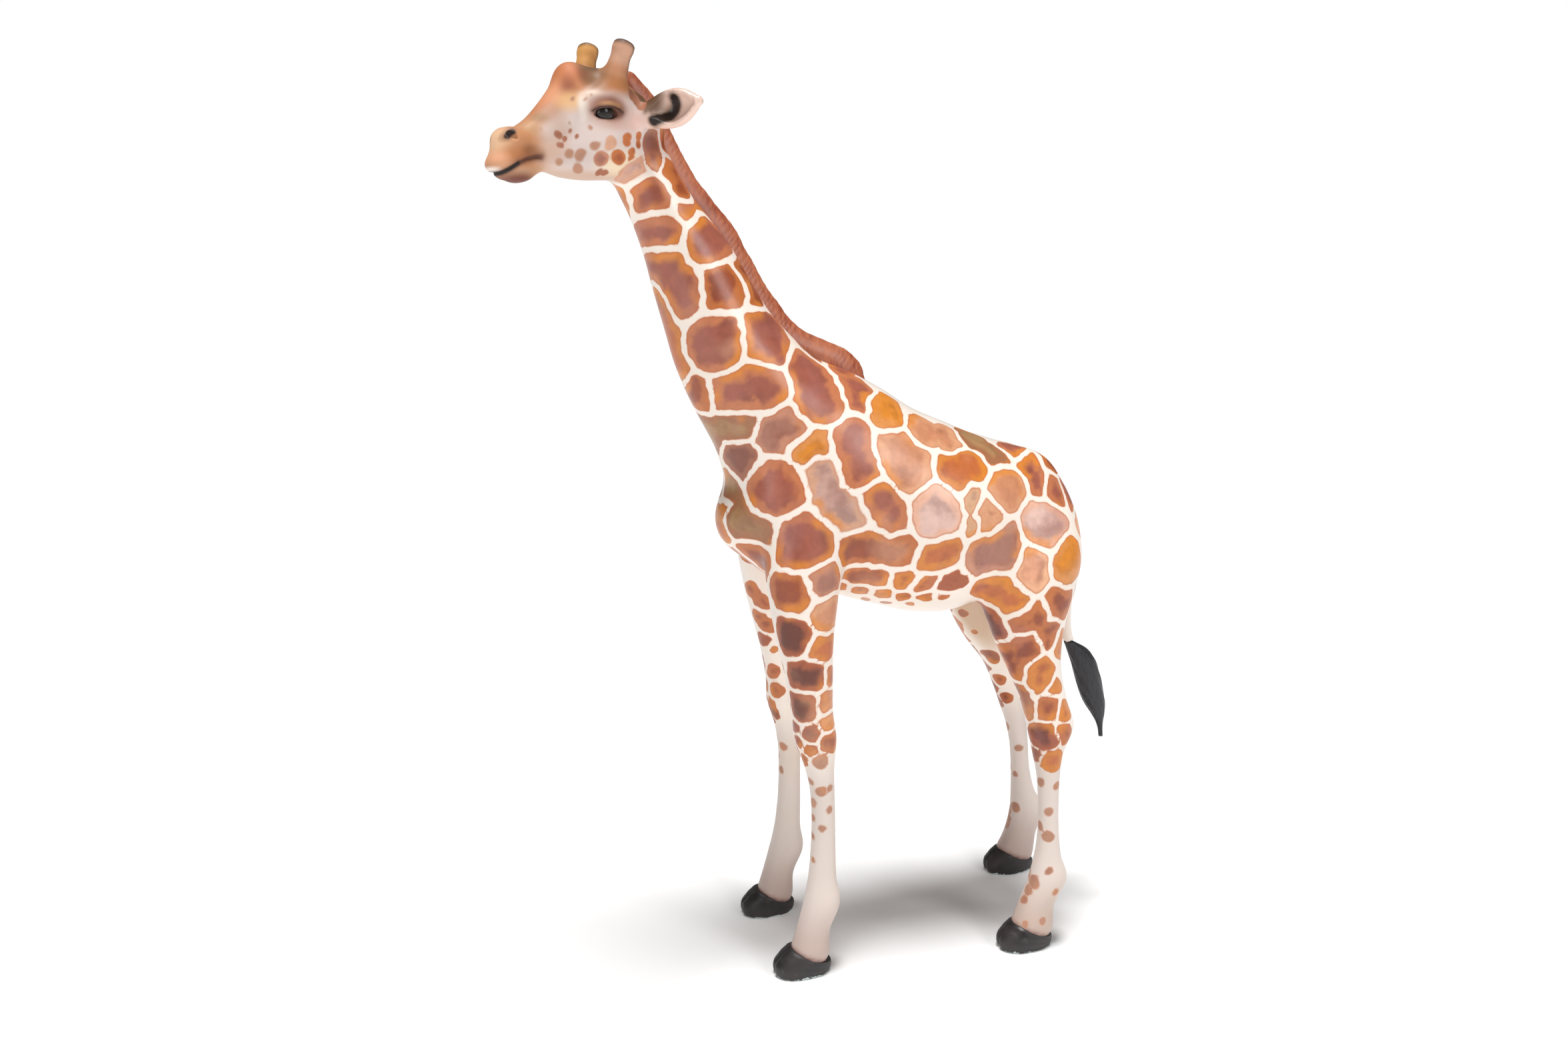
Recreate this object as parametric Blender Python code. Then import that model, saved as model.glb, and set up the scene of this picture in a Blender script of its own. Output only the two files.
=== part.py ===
"""A life-size display figure of a young reticulated giraffe, moulded in glass fibre and painted.

The figure stands on four hooves with its head turned to its left. It is modelled whole, as a blend of
lofts and swellings whose sizes are named below, and then parted with thin cuts into the pieces that a
person would name. Units are metres. It faces -X, its left side is -Y, and +Z is up.
"""

import math

import bpy
import numpy as np

# ---------------------------------------------------------------- driving dimensions
# how the figure stands
FRAME_SHIFT = (0.181, 0.0, 0.0)  # the origin goes under the middle of the figure's box
NECK_RISE = math.radians(60.0)  # the neck's sections stand square to a line that rises this steeply
HEAD_PIVOT = np.array([-0.577, 0.0, 0.0])  # plan position of the joint between skull and neck
HEAD_TURN = math.radians(26.0)  # the head looks this far to the animal's left
FRONT_HOOF_Y = 0.144  # distances of the hooves' middles from the figure's middle plane
HIND_HOOF_Y = 0.181
HIND_STEP = 0.135  # the right hind foot stands this far behind the left one
FRONT_STEP = 0.016  # the right foreleg's knee stands this far behind the left one's

# where the whole is parted
JOINT_GAP = 0.0004  # the thin cut between two neighbouring pieces
FRONT_LEG_CUT = 0.800  # height of the level cut through a foreleg
HIND_LEG_CUT = 0.829  # height of the cut through a thigh, which slopes up to the rear
HIND_CUT_NORMAL = (0.46, 0, -1)
EAR_CUT = 0.024  # distances of the cuts along an ear, a horn and the neck
HORN_CUT = 0.032
NECK_CUT = 1.290
MANE_CUT_DEPTH = 0.027  # how much of the crest's height the mane takes
MANE_CUT_HALF_WIDTH = 0.020
MANE_CUT_STEPS = 11

# how finely it is drawn
REACH = 0.12  # beyond this distance a block no longer affects the surface
CAP_RINGS = 4  # rings in the rounded end of a loft's shell
VOXELS = (0.008, 0.0055)  # cells of the two blanks from which the surface is drawn out
SHARP_ANGLE = math.radians(50)  # edges that fold more than this stay sharp
TRIANGLE_ZONES = (  # lowest and highest height of a zone, and its triangles before the figure is parted
    (-1.000, 0.180, 430),
    (0.180, 1.640, 2350),
    (1.640, 3.000, 2000),
)


# ---------------------------------------------------------------- building blocks of the figure
def unit(vector):
    return np.array(vector, float) / np.linalg.norm(vector)


def smooth_table(rows, count=300):
    """Rows read along smooth curves through the given ones, evenly spaced in the first column."""
    rows = np.array(rows, float)
    at, step = rows[:, 0], np.diff(rows[:, 0])
    slope = np.diff(rows, axis=0) / step[:, None]
    tangent = np.concatenate([slope[:1], (slope[:-1] * step[1:, None] + slope[1:] * step[:-1, None])
                              / (step[:-1] + step[1:])[:, None], slope[-1:]])
    wanted = np.linspace(at[0], at[-1], count)
    i = np.clip(np.searchsorted(at, wanted, side="right") - 1, 0, len(step) - 1)
    t, span = ((wanted - at[i]) / step[i])[:, None], step[i][:, None]
    return (
        (2 * t**3 - 3 * t**2 + 1) * rows[i]
        + (t**3 - 2 * t**2 + t) * span * tangent[i]
        + (3 * t**2 - 2 * t**3) * rows[i + 1]
        + (t**3 - t**2) * span * tangent[i + 1]
    )


class Loft:
    """A rounded solid drawn through sections that all stand square to one direction.

    Each row is: distance along, lowest and highest value across, value across where it is widest, half
    width, and offset sideways. `square` is 2 for an oval section and more for a squarer one. `ends` are
    the lengths of the two rounded caps. All values are measured from `origin`.
    """

    def __init__(self, rows, along, across, ends, square=2.0, origin=(0, 0, 0)):
        self.table = smooth_table(rows)
        self.origin = np.array(origin, float)
        self.along = unit(along)
        self.across = unit(across)
        self.side = np.cross(self.across, self.along)
        self.ends, self.square = ends, square
        corners = np.concatenate(self.rings(12))
        self.low, self.high = corners.min(0) - REACH, corners.max(0) + REACH

    def field(self, points):
        """How far each point is outside the loft, roughly; less than 0 inside."""
        value = np.full(len(points), REACH)
        near = np.flatnonzero(((points > self.low) & (points < self.high)).all(1))
        q = points[near] - self.origin
        at = q @ self.along
        first, last = self.table[0, 0], self.table[-1, 0]
        over = np.where(at < first, (first - at) / self.ends[0], np.maximum(at - last, 0) / self.ends[1])
        beyond = np.where(at < first, first - at, np.maximum(at - last, 0))
        low, high, widest, half, offset = (np.interp(at, self.table[:, 0], c) for c in self.table[:, 1:].T)
        u = q @ self.across - widest
        s = q @ self.side - offset
        n = self.square
        reach = np.where(u > 0, high - widest, widest - low)
        ratio = (np.abs(s / half) ** n + np.abs(u / reach) ** n) ** (2 / n) + over**2
        ratio = np.sqrt(np.maximum(ratio, 1e-12))
        distance = np.sqrt(s**2 + u**2 + beyond**2)
        core = np.minimum(half, reach)
        value[near] = np.minimum(np.where(ratio > 0.05, distance * (1 - 1 / ratio), -core), REACH)
        return value

    def rings(self, turns, spacing=6):
        """Rings of points around the loft, its two caps included."""
        angle = np.linspace(0, 2 * np.pi, turns, endpoint=False)
        cap = np.linspace(0, np.pi / 2, CAP_RINGS + 2)[1:-1]
        body = self.table[np.linspace(0, len(self.table) - 1, len(self.table) // spacing).astype(int)]
        ring_rows = [(body[0], -self.ends[0] * np.sin(a), np.cos(a)) for a in cap[::-1]]
        ring_rows += [(row, 0.0, 1.0) for row in body]
        ring_rows += [(self.table[-1], self.ends[1] * np.sin(a), np.cos(a)) for a in cap]
        rings = []
        for (at, low, high, widest, half, offset), shift, scale in ring_rows:
            up = np.where(np.sin(angle) > 0, high - widest, widest - low) * np.sin(angle) * scale + widest
            out = half * scale * np.cos(angle) + offset
            rings.append(
                self.origin + (at + shift) * self.along
                + up[:, None] * self.across + out[:, None] * self.side
            )
        return rings

    def shell(self, turns=24, spacing=6, capped=True):
        """Closed surface through the rings, as vertices and faces, with round caps or flat ends."""
        rings = self.rings(turns, spacing)
        rings = rings if capped else rings[CAP_RINGS:-CAP_RINGS]
        verts = np.concatenate(rings + [rings[0].mean(0)[None], rings[-1].mean(0)[None]])
        n, end = turns, (len(rings) - 1) * turns
        first, last = len(verts) - 2, len(verts) - 1
        faces = [
            (r + k, r + (k + 1) % n, r + n + (k + 1) % n, r + n + k)
            for r in range(0, end, n) for k in range(n)
        ]
        faces += [((k + 1) % n, k, first) for k in range(n)]
        faces += [(end + k, end + (k + 1) % n, last) for k in range(n)]
        return verts, faces


def swelling(points, centre, radii, tilt=0.0):
    """Field of an ellipsoid, tilted nose-down by `tilt` degrees about its sideways axis."""
    q = points - np.array(centre)
    c, s = math.cos(math.radians(tilt)), math.sin(math.radians(tilt))
    q = np.stack([q[:, 0] * c - q[:, 2] * s, q[:, 1], q[:, 0] * s + q[:, 2] * c], 1)
    ratio = np.maximum(np.linalg.norm(q / np.array(radii), axis=1), 1e-6)
    distance = np.linalg.norm(q, axis=1)
    return np.where(ratio > 0.05, distance * (1 - 1 / ratio), -min(radii))


def ball_shell(centre, radii, rings=8, turns=12):
    """Closed surface of an ellipsoid, as vertices and faces."""
    verts = [
        (math.sin(math.pi * r / rings) * math.cos(2 * math.pi * k / turns),
         math.sin(math.pi * r / rings) * math.sin(2 * math.pi * k / turns),
         math.cos(math.pi * r / rings))
        for r in range(1, rings) for k in range(turns)
    ] + [(0, 0, 1), (0, 0, -1)]
    top, bottom, last = len(verts) - 2, len(verts) - 1, (rings - 2) * turns
    faces = [
        (r + k, r + turns + k, r + turns + (k + 1) % turns, r + (k + 1) % turns)
        for r in range(0, last, turns) for k in range(turns)
    ]
    faces += [(k, (k + 1) % turns, top) for k in range(turns)]
    faces += [(last + (k + 1) % turns, last + k, bottom) for k in range(turns)]
    return np.array(verts) * np.array(radii) + np.array(centre), faces


def blend(a, b, width):
    """Union of two fields whose crease is filled over `width`."""
    h = np.clip(0.5 + 0.5 * (b - a) / width, 0, 1)
    return b * (1 - h) + a * h - width * h * (1 - h)


def hollow(a, b, width):
    """Field a with b scooped out of it, its rim rounded over `width`."""
    return -blend(-a, b, width)


# ---------------------------------------------------------------- trunk, neck and mane
TRUNK = Loft(
    [  # x, lowest z, highest z, z where widest, half width, y
        (-0.310, 0.890, 1.210, 1.040, 0.113, 0),
        (-0.288, 0.882, 1.232, 1.040, 0.118, 0),
        (-0.186, 0.843, 1.308, 1.038, 0.141, 0),
        (-0.084, 0.810, 1.298, 1.018, 0.162, 0),
        (0.017, 0.784, 1.247, 0.991, 0.173, 0),
        (0.119, 0.787, 1.204, 0.971, 0.168, 0),
        (0.180, 0.816, 1.174, 0.955, 0.152, 0),
        (0.230, 0.848, 1.130, 0.940, 0.132, 0),
    ],
    along=(1, 0, 0),
    across=(0, 0, 1),
    ends=(0.085, 0.080),
)
RUMP = Loft(
    [  # its sections stand square to the falling line of the back
        (-0.320, 0.945, 1.128, 1.000, 0.124, 0),
        (-0.260, 0.908, 1.160, 0.985, 0.144, 0),
        (-0.200, 0.885, 1.172, 0.970, 0.149, 0),
        (-0.160, 0.880, 1.172, 0.960, 0.147, 0),
    ],
    along=(0.927, 0, -0.375),
    across=(0.375, 0, 0.927),
    ends=(0.060, 0.206),
)

NECK_ALONG = (-math.cos(NECK_RISE), 0, math.sin(NECK_RISE))
NECK_ACROSS = (math.sin(NECK_RISE), 0, math.cos(NECK_RISE))
NECK = Loft(
    [  # along, throat side, nape side, where widest, half width, y
        (1.036, 0.238, 0.520, 0.378, 0.124, 0),
        (1.204, 0.213, 0.521, 0.373, 0.121, 0),
        (1.311, 0.212, 0.486, 0.360, 0.111, 0),
        (1.433, 0.224, 0.455, 0.348, 0.096, 0),
        (1.521, 0.246, 0.452, 0.352, 0.085, 0),
        (1.595, 0.265, 0.450, 0.360, 0.076, 0),
        (1.667, 0.285, 0.439, 0.363, 0.069, 0),
        (1.738, 0.298, 0.429, 0.366, 0.063, 0),
        (1.819, 0.305, 0.431, 0.370, 0.058, 0),
        (1.900, 0.317, 0.431, 0.376, 0.051, 0),
    ],
    along=NECK_ALONG,
    across=NECK_ACROSS,
    ends=(0.08, 0.04),
)
MANE = Loft(
    [  # a low crest from the poll to the withers
        (1.189, 0.490, 0.571, 0.531, 0.016, 0),
        (1.230, 0.490, 0.579, 0.531, 0.017, 0),
        (1.269, 0.480, 0.566, 0.521, 0.016, 0),
        (1.313, 0.449, 0.535, 0.490, 0.016, 0),
        (1.354, 0.429, 0.504, 0.460, 0.015, 0),
        (1.439, 0.409, 0.483, 0.449, 0.015, 0),
        (1.554, 0.404, 0.478, 0.439, 0.015, 0),
        (1.628, 0.404, 0.478, 0.439, 0.015, 0),
        (1.691, 0.393, 0.466, 0.429, 0.014, 0),
        (1.750, 0.383, 0.458, 0.419, 0.013, 0),
        (1.844, 0.383, 0.461, 0.419, 0.013, 0),
        (1.912, 0.388, 0.464, 0.424, 0.012, 0.006),
        (1.966, 0.404, 0.452, 0.430, 0.009, 0.010),
    ],
    along=NECK_ALONG,
    across=NECK_ACROSS,
    ends=(0.025, 0.012),
)

# ---------------------------------------------------------------- legs
def front_leg(back):
    """Loft of a left front leg; each row takes its share of the distance `back` further to the rear."""
    rows = [
        (z, front + back * share, rear + back * share, widest + back * share, half, offset)
        for z, front, rear, widest, half, offset, share in [
            (0.056, -0.311, -0.223, -0.266, 0.043, 0.144, 0.0),
            (0.097, -0.299, -0.222, -0.259, 0.037, 0.144, 0.0),
            (0.165, -0.281, -0.197, -0.239, 0.037, 0.142, 0.0),
            (0.218, -0.271, -0.206, -0.237, 0.029, 0.141, 0.1),
            (0.279, -0.265, -0.208, -0.237, 0.026, 0.140, 0.2),
            (0.381, -0.263, -0.210, -0.236, 0.025, 0.139, 0.3),
            (0.427, -0.266, -0.211, -0.238, 0.026, 0.138, 0.4),
            (0.483, -0.278, -0.212, -0.245, 0.033, 0.137, 0.6),
            (0.549, -0.301, -0.207, -0.254, 0.042, 0.135, 0.8),
            (0.605, -0.307, -0.215, -0.261, 0.043, 0.134, 1.0),
            (0.676, -0.317, -0.215, -0.265, 0.046, 0.130, 0.8),
            (0.769, -0.337, -0.212, -0.275, 0.054, 0.124, 0.5),
            (0.849, -0.350, -0.201, -0.278, 0.061, 0.115, 0.0),
            (0.950, -0.357, -0.181, -0.271, 0.065, 0.104, -0.4),
            (1.060, -0.325, -0.176, -0.257, 0.056, 0.092, 0.0),
            (1.160, -0.270, -0.165, -0.225, 0.036, 0.075, 0.0),
        ]
    ]
    return Loft(rows, along=(0, 0, 1), across=(1, 0, 0), ends=(0.05, 0.08))


def hind_leg(back):
    """Loft of a left hind leg; each row takes its share of the distance `back` further to the rear."""
    rows = [
        (z, front + back * share, rear + back * share, widest + back * share, half, offset)
        for z, front, rear, widest, half, offset, share in [
            (0.056, 0.216, 0.316, 0.266, 0.043, 0.181, 1.00),
            (0.097, 0.231, 0.317, 0.273, 0.038, 0.181, 1.03),
            (0.165, 0.257, 0.348, 0.303, 0.037, 0.180, 0.95),
            (0.218, 0.269, 0.332, 0.302, 0.029, 0.179, 0.86),
            (0.269, 0.275, 0.325, 0.301, 0.025, 0.178, 0.80),
            (0.371, 0.274, 0.323, 0.299, 0.024, 0.173, 0.71),
            (0.422, 0.269, 0.325, 0.298, 0.027, 0.170, 0.64),
            (0.462, 0.261, 0.330, 0.296, 0.033, 0.167, 0.58),
            (0.527, 0.247, 0.359, 0.303, 0.039, 0.160, 0.48),
            (0.584, 0.235, 0.344, 0.290, 0.043, 0.152, 0.36),
            (0.658, 0.207, 0.331, 0.269, 0.051, 0.138, 0.13),
            (0.736, 0.175, 0.341, 0.259, 0.063, 0.120, 0.00),
            (0.830, 0.145, 0.373, 0.261, 0.077, 0.104, 0.00),
            (0.920, 0.124, 0.396, 0.266, 0.078, 0.089, 0.00),
            (1.000, 0.150, 0.385, 0.264, 0.059, 0.068, 0.00),
            (1.070, 0.190, 0.345, 0.260, 0.032, 0.045, 0.00),
        ]
    ]
    return Loft(rows, along=(0, 0, 1), across=(1, 0, 0), ends=(0.05, 0.08))


FRONT_LEG_LEFT, FRONT_LEG_RIGHT = front_leg(0.0), front_leg(FRONT_STEP)
HIND_LEG_LEFT, HIND_LEG_RIGHT = hind_leg(0.0), hind_leg(HIND_STEP)
HOOF_ROWS = [  # height, toe, heel, where widest, half width: distances behind the middle of the sole
    (-0.010, -0.059, 0.057, -0.010, 0.0385, 0),
    (0.004, -0.064, 0.062, -0.010, 0.0410, 0),
    (0.014, -0.068, 0.065, -0.010, 0.0425, 0),
    (0.030, -0.065, 0.064, -0.006, 0.0430, 0),
    (0.043, -0.054, 0.063, 0.000, 0.0420, 0),
    (0.055, -0.040, 0.062, 0.008, 0.0405, 0),
    (0.065, -0.029, 0.061, 0.014, 0.0395, 0),
    (0.076, -0.020, 0.060, 0.018, 0.0385, 0),
]
HOOF_TOP = (0.050, 0.37)  # height of the coronet above the sole's middle, and its fall to the heel
HOOVES = {  # plan position of the middle of each sole
    "front_left": (-0.284, -FRONT_HOOF_Y),
    "front_right": (-0.285, FRONT_HOOF_Y),
    "hind_left": (0.249, -HIND_HOOF_Y),
    "hind_right": (0.385, HIND_HOOF_Y),
}


def hoof_loft(x, y):
    return Loft(
        HOOF_ROWS,
        along=(0, 0, 1),
        across=(1, 0, 0),
        ends=(0.004, 0.02),
        square=2.3,
        origin=(x, y, 0),
    )


HOOF_LOFTS = {name: hoof_loft(x, y) for name, (x, y) in HOOVES.items()}


DOCK = Loft(
    [  # height, front x, rear x, x where widest, half width
        (0.6720, 0.418, 0.444, 0.431, 0.0130, 0),
        (0.700, 0.411, 0.436, 0.424, 0.0125, 0),
        (0.770, 0.408, 0.432, 0.420, 0.0120, 0),
        (0.850, 0.402, 0.432, 0.418, 0.0140, 0),
        (0.920, 0.392, 0.430, 0.412, 0.0180, 0),
        (0.990, 0.362, 0.408, 0.386, 0.0220, 0),
    ],
    along=(0, 0, 1),
    across=(1, 0, 0),
    ends=(0.0002, 0.03),
)
TUFT = Loft(
    [  # height, front x, rear x, x where widest, half width
        (0.420, 0.526, 0.537, 0.531, 0.0050, 0),
        (0.440, 0.523, 0.535, 0.528, 0.0068, 0),
        (0.462, 0.514, 0.535, 0.524, 0.0105, 0),
        (0.478, 0.504, 0.537, 0.520, 0.0145, 0),
        (0.507, 0.484, 0.537, 0.510, 0.0205, 0),
        (0.550, 0.463, 0.527, 0.494, 0.0240, 0),
        (0.590, 0.450, 0.516, 0.483, 0.0250, 0),
        (0.630, 0.436, 0.498, 0.467, 0.0232, 0),
        (0.655, 0.426, 0.474, 0.449, 0.0185, 0),
        (0.6714, 0.419, 0.444, 0.432, 0.0130, 0),
    ],
    along=(0, 0, 1),
    across=(1, 0, 0),
    ends=(0.006, 0.0002),
)


def legs_field(points):
    """Fields of the front pair and of the hind pair."""
    other_side = points * np.array([1, -1, 1])
    front = np.minimum(FRONT_LEG_LEFT.field(points), FRONT_LEG_RIGHT.field(other_side))
    hind = np.minimum(HIND_LEG_LEFT.field(points), HIND_LEG_RIGHT.field(other_side))
    return front, hind


def hooves_field(points):
    value = np.full(len(points), REACH)
    for name, (x, y) in HOOVES.items():
        close = (np.hypot(points[:, 0] - x, points[:, 1] - y) < 0.16) & (points[:, 2] < 0.2)
        near = np.flatnonzero(close)
        top = points[near, 2] - (HOOF_TOP[0] - HOOF_TOP[1] * (points[near, 0] - x))
        value[near] = np.minimum(value[near], hollow(HOOF_LOFTS[name].field(points[near]), -top, 0.004))
    return value


# ---------------------------------------------------------------- head
# Its own axes are forward, outward and up.
SKULL = Loft(
    [  # forward, lowest, highest, where widest, half width
        (0.010, 1.794, 1.887, 1.850, 0.049, 0),
        (0.051, 1.779, 1.907, 1.853, 0.063, 0),
        (0.097, 1.773, 1.933, 1.855, 0.067, 0),
        (0.142, 1.773, 1.937, 1.850, 0.063, 0),
        (0.171, 1.771, 1.937, 1.839, 0.054, 0),
        (0.193, 1.769, 1.929, 1.829, 0.048, 0),
        (0.215, 1.767, 1.899, 1.816, 0.044, 0),
        (0.244, 1.761, 1.864, 1.802, 0.040, 0),
        (0.274, 1.753, 1.834, 1.789, 0.036, 0),
        (0.302, 1.746, 1.815, 1.780, 0.036, 0),
        (0.317, 1.742, 1.806, 1.775, 0.034, 0),
    ],
    along=(1, 0, 0),
    across=(0, 0, 1),
    ends=(0.046, 0.020),
    square=2.1,
)
JAW = Loft(
    [
        (0.066, 1.728, 1.824, 1.779, 0.041, 0),
        (0.107, 1.727, 1.824, 1.775, 0.047, 0),
        (0.152, 1.725, 1.814, 1.768, 0.041, 0),
        (0.203, 1.728, 1.794, 1.760, 0.032, 0),
        (0.249, 1.736, 1.779, 1.755, 0.026, 0),
        (0.285, 1.719, 1.768, 1.741, 0.026, 0),
        (0.310, 1.715, 1.758, 1.736, 0.026, 0),
        (0.325, 1.719, 1.748, 1.734, 0.023, 0),
    ],
    along=(1, 0, 0),
    across=(0, 0, 1),
    ends=(0.030, 0.014),
    square=2.2,
)
HORN = Loft(
    [  # distance from the root, then the section
        (-0.020, -0.031, 0.029, 0, 0.029, 0),
        (0.012, -0.025, 0.024, 0, 0.024, 0),
        (0.035, -0.0220, 0.0190, 0, 0.0195, 0),
        (0.052, -0.0210, 0.0172, 0, 0.0180, 0),
        (0.068, -0.0232, 0.0182, 0, 0.0205, 0),
        (0.075, -0.0230, 0.0170, 0, 0.0200, 0),
    ],
    along=(-0.26, 0.15, 0.96),
    across=(0.96, 0, 0.26),
    ends=(0.01, 0.009),
    origin=(0.110, 0.046, 1.9055),
    square=2.2,
)
RIGHT_HORN_SHIFT = np.array([0.006, 0.0, 0.005])  # the right horn stands a little further forward and up
EAR_ALONG = unit((-0.44, 0.87, 0.20))
EAR_OPEN = unit(np.cross((0, 0, 1), EAR_ALONG) * -1)  # the way that the cup opens: forward and outward
EAR_ROOT = (0.053, 0.053, 1.845)
EAR = Loft(
    [  # distance from the root, back and front of the cup, then where widest and half height
        (0.000, -0.018, 0.016, 0, 0.022, 0),
        (0.030, -0.020, 0.018, 0, 0.028, 0),
        (0.065, -0.018, 0.019, 0, 0.036, 0),
        (0.095, -0.013, 0.017, 0, 0.034, 0),
        (0.118, -0.008, 0.014, 0, 0.022, 0),
        (0.132, -0.004, 0.010, 0, 0.010, 0),
    ],
    along=EAR_ALONG,
    across=EAR_OPEN,
    ends=(0.02, 0.008),
    origin=EAR_ROOT,
)
EAR_SCOOP = Loft(
    [  # the hollow of the cup, whose middle lies in front of the ear
        (0.040, 0.004, 0.080, 0.036, 0.016, 0),
        (0.060, -0.012, 0.080, 0.036, 0.031, 0),
        (0.088, -0.008, 0.080, 0.036, 0.033, 0),
        (0.110, -0.002, 0.080, 0.036, 0.021, 0),
        (0.120, 0.003, 0.080, 0.036, 0.012, 0),
    ],
    along=EAR_ALONG,
    across=EAR_OPEN,
    ends=(0.012, 0.008),
    origin=EAR_ROOT,
)
EYE_CENTRE = (0.1435, 0.0570, 1.8475)
EYE_RADIUS = 0.0225
LID_RADIUS = 0.0262
EYE_OPENING = (0.1450, 0.0830, 1.8445)
EYE_OPENING_RADII = (0.0290, 0.0300, 0.0105)
NOSTRIL = (0.3295, 0.0370, 1.7985)
NOSTRIL_RADII = (0.0140, 0.0130, 0.0066)
NOSTRIL_TILT = -42
HEAD_SWELLINGS = [  # centre, radii, tilt, width of the blend
    ((0.178, 0.000, 1.908), (0.031, 0.029, 0.032), 0, 0.018),  # boss on the brow
    ((0.088, 0.034, 1.793), (0.052, 0.024, 0.046), 0, 0.024),  # cheek
    ((0.145, 0.050, 1.850), (0.042, 0.026, 0.036), 0, 0.022),  # rim of the eye socket
    ((0.132, 0.051, 1.880), (0.036, 0.020, 0.014), 8, 0.020),  # brow
    ((0.316, 0.017, 1.790), (0.022, 0.022, 0.020), 0, 0.016),  # nostril wing
    ((0.316, 0.000, 1.777), (0.026, 0.029, 0.033), 28, 0.018),  # slope of the nose
    ((0.327, 0.000, 1.753), (0.036, 0.037, 0.021), 24, 0.022),  # upper lip
    ((0.302, 0.000, 1.737), (0.034, 0.026, 0.021), 0, 0.008),  # lower lip and chin
]


def in_head_axes(points):
    q = points - HEAD_PIVOT
    c, s = math.cos(HEAD_TURN), math.sin(HEAD_TURN)
    return np.stack([-q[:, 0] * c - q[:, 1] * s, q[:, 0] * s - q[:, 1] * c, q[:, 2]], 1)


def from_head_axes(points):
    p = np.atleast_2d(points)
    c, s = math.cos(HEAD_TURN), math.sin(HEAD_TURN)
    return np.stack([-p[:, 0] * c + p[:, 1] * s, -p[:, 0] * s - p[:, 1] * c, p[:, 2]], 1) + HEAD_PIVOT


def head_field(points):
    """Skull, jaw, horns and ears. The two sides are alike but for the horns, so the outward distance
    serves both."""
    p = in_head_axes(points)
    at_horn = np.where(p[:, 1:2] < 0, p - RIGHT_HORN_SHIFT, p)
    at_horn[:, 1] = np.abs(p[:, 1])
    p[:, 1] = np.abs(p[:, 1])
    value = blend(SKULL.field(p), JAW.field(p), 0.020)
    for centre, radii, tilt, width in HEAD_SWELLINGS:
        value = blend(value, swelling(p, centre, radii, tilt), width)
    value = blend(value, HORN.field(at_horn), 0.020)
    ear = hollow(EAR.field(p), EAR_SCOOP.field(p), 0.005)
    value = blend(value, ear, 0.014)
    value = blend(value, swelling(p, EYE_CENTRE, (LID_RADIUS,) * 3), 0.006)
    value = hollow(value, swelling(p, EYE_OPENING, EYE_OPENING_RADII, 4), 0.002)
    return hollow(value, swelling(p, NOSTRIL, NOSTRIL_RADII, NOSTRIL_TILT), 0.004)


# ---------------------------------------------------------------- the whole figure
BODY_SWELLINGS = [  # centre, radii, width of the blend
    ((-0.362, 0.000, 1.020), (0.077, 0.088, 0.080), 0.040),  # breast
    ((-0.300, 0.088, 1.060), (0.072, 0.044, 0.074), 0.040),  # point of the shoulder
]


def flesh(points):
    """Field of the figure: less than 0 inside, 0 on its surface."""
    sides = np.stack([points[:, 0], np.abs(points[:, 1]), points[:, 2]], 1)
    value = blend(blend(TRUNK.field(points), RUMP.field(points), 0.040), NECK.field(points), 0.110)
    for centre, radii, width in BODY_SWELLINGS:
        value = blend(value, swelling(sides, centre, radii), width)
    front, hind = legs_field(points)
    value = blend(value, front, 0.030)
    value = blend(value, hind, 0.034)
    value = blend(value, hooves_field(points), 0.004)
    value = blend(value, DOCK.field(points), 0.020)
    near_head = points[:, 2] > 1.60
    head = np.full(len(points), REACH)
    head[near_head] = head_field(points[near_head])
    value = blend(value, head, 0.030)
    return blend(value, MANE.field(points), 0.008)


def onto_surface(points, field, rounds=8):
    """Moves points along the field's slope until they lie on its surface."""
    step = 2e-4
    for _ in range(rounds):
        value = field(points)
        slope = np.stack([field(points + step * axis) - value for axis in np.eye(3)], 1) / step
        size = np.sqrt(np.maximum((slope**2).sum(1), 0.05))
        points = points - slope * (np.clip(value / size, -0.008, 0.008) / size)[:, None]
    return points


# ---------------------------------------------------------------- Blender objects
def clear_scene():
    for obj in list(bpy.data.objects):
        bpy.data.objects.remove(obj, do_unlink=True)


def object_from(name, verts, faces):
    mesh = bpy.data.meshes.new(name)
    mesh.from_pydata([tuple(v) for v in verts], [], faces)
    mesh.update()
    obj = bpy.data.objects.new(name, mesh)
    bpy.context.scene.collection.objects.link(obj)
    return obj


def baked(obj, name):
    """A new object that holds obj as its modifiers leave it; obj is removed."""
    bpy.context.view_layer.update()
    graph = bpy.context.evaluated_depsgraph_get()
    mesh = bpy.data.meshes.new_from_object(obj.evaluated_get(graph))
    bpy.data.objects.remove(obj, do_unlink=True)
    made = bpy.data.objects.new(name, mesh)
    bpy.context.scene.collection.objects.link(made)
    return made


def coordinates(mesh):
    co = np.empty(len(mesh.vertices) * 3, np.float32)
    mesh.vertices.foreach_get("co", co)
    return co.reshape(-1, 3).astype(float)


def drawn_out(shells, name, field, voxels):
    """One closed skin over overlapping shells, drawn onto the field's surface, twice, ever finer."""
    verts, faces, count = [], [], 0
    for v, f in shells:
        verts.append(v)
        faces += [tuple(i + count for i in face) for face in f]
        count += len(v)
    obj = object_from(name, np.concatenate(verts), faces)
    for voxel in voxels:
        remesh = obj.modifiers.new("one_skin", "REMESH")
        remesh.mode = "VOXEL"
        remesh.voxel_size = voxel
        obj = baked(obj, name)
        points = onto_surface(coordinates(obj.data), field)
        obj.data.vertices.foreach_set("co", points.astype(np.float32).ravel())
        obj.data.update()
    return obj


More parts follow.
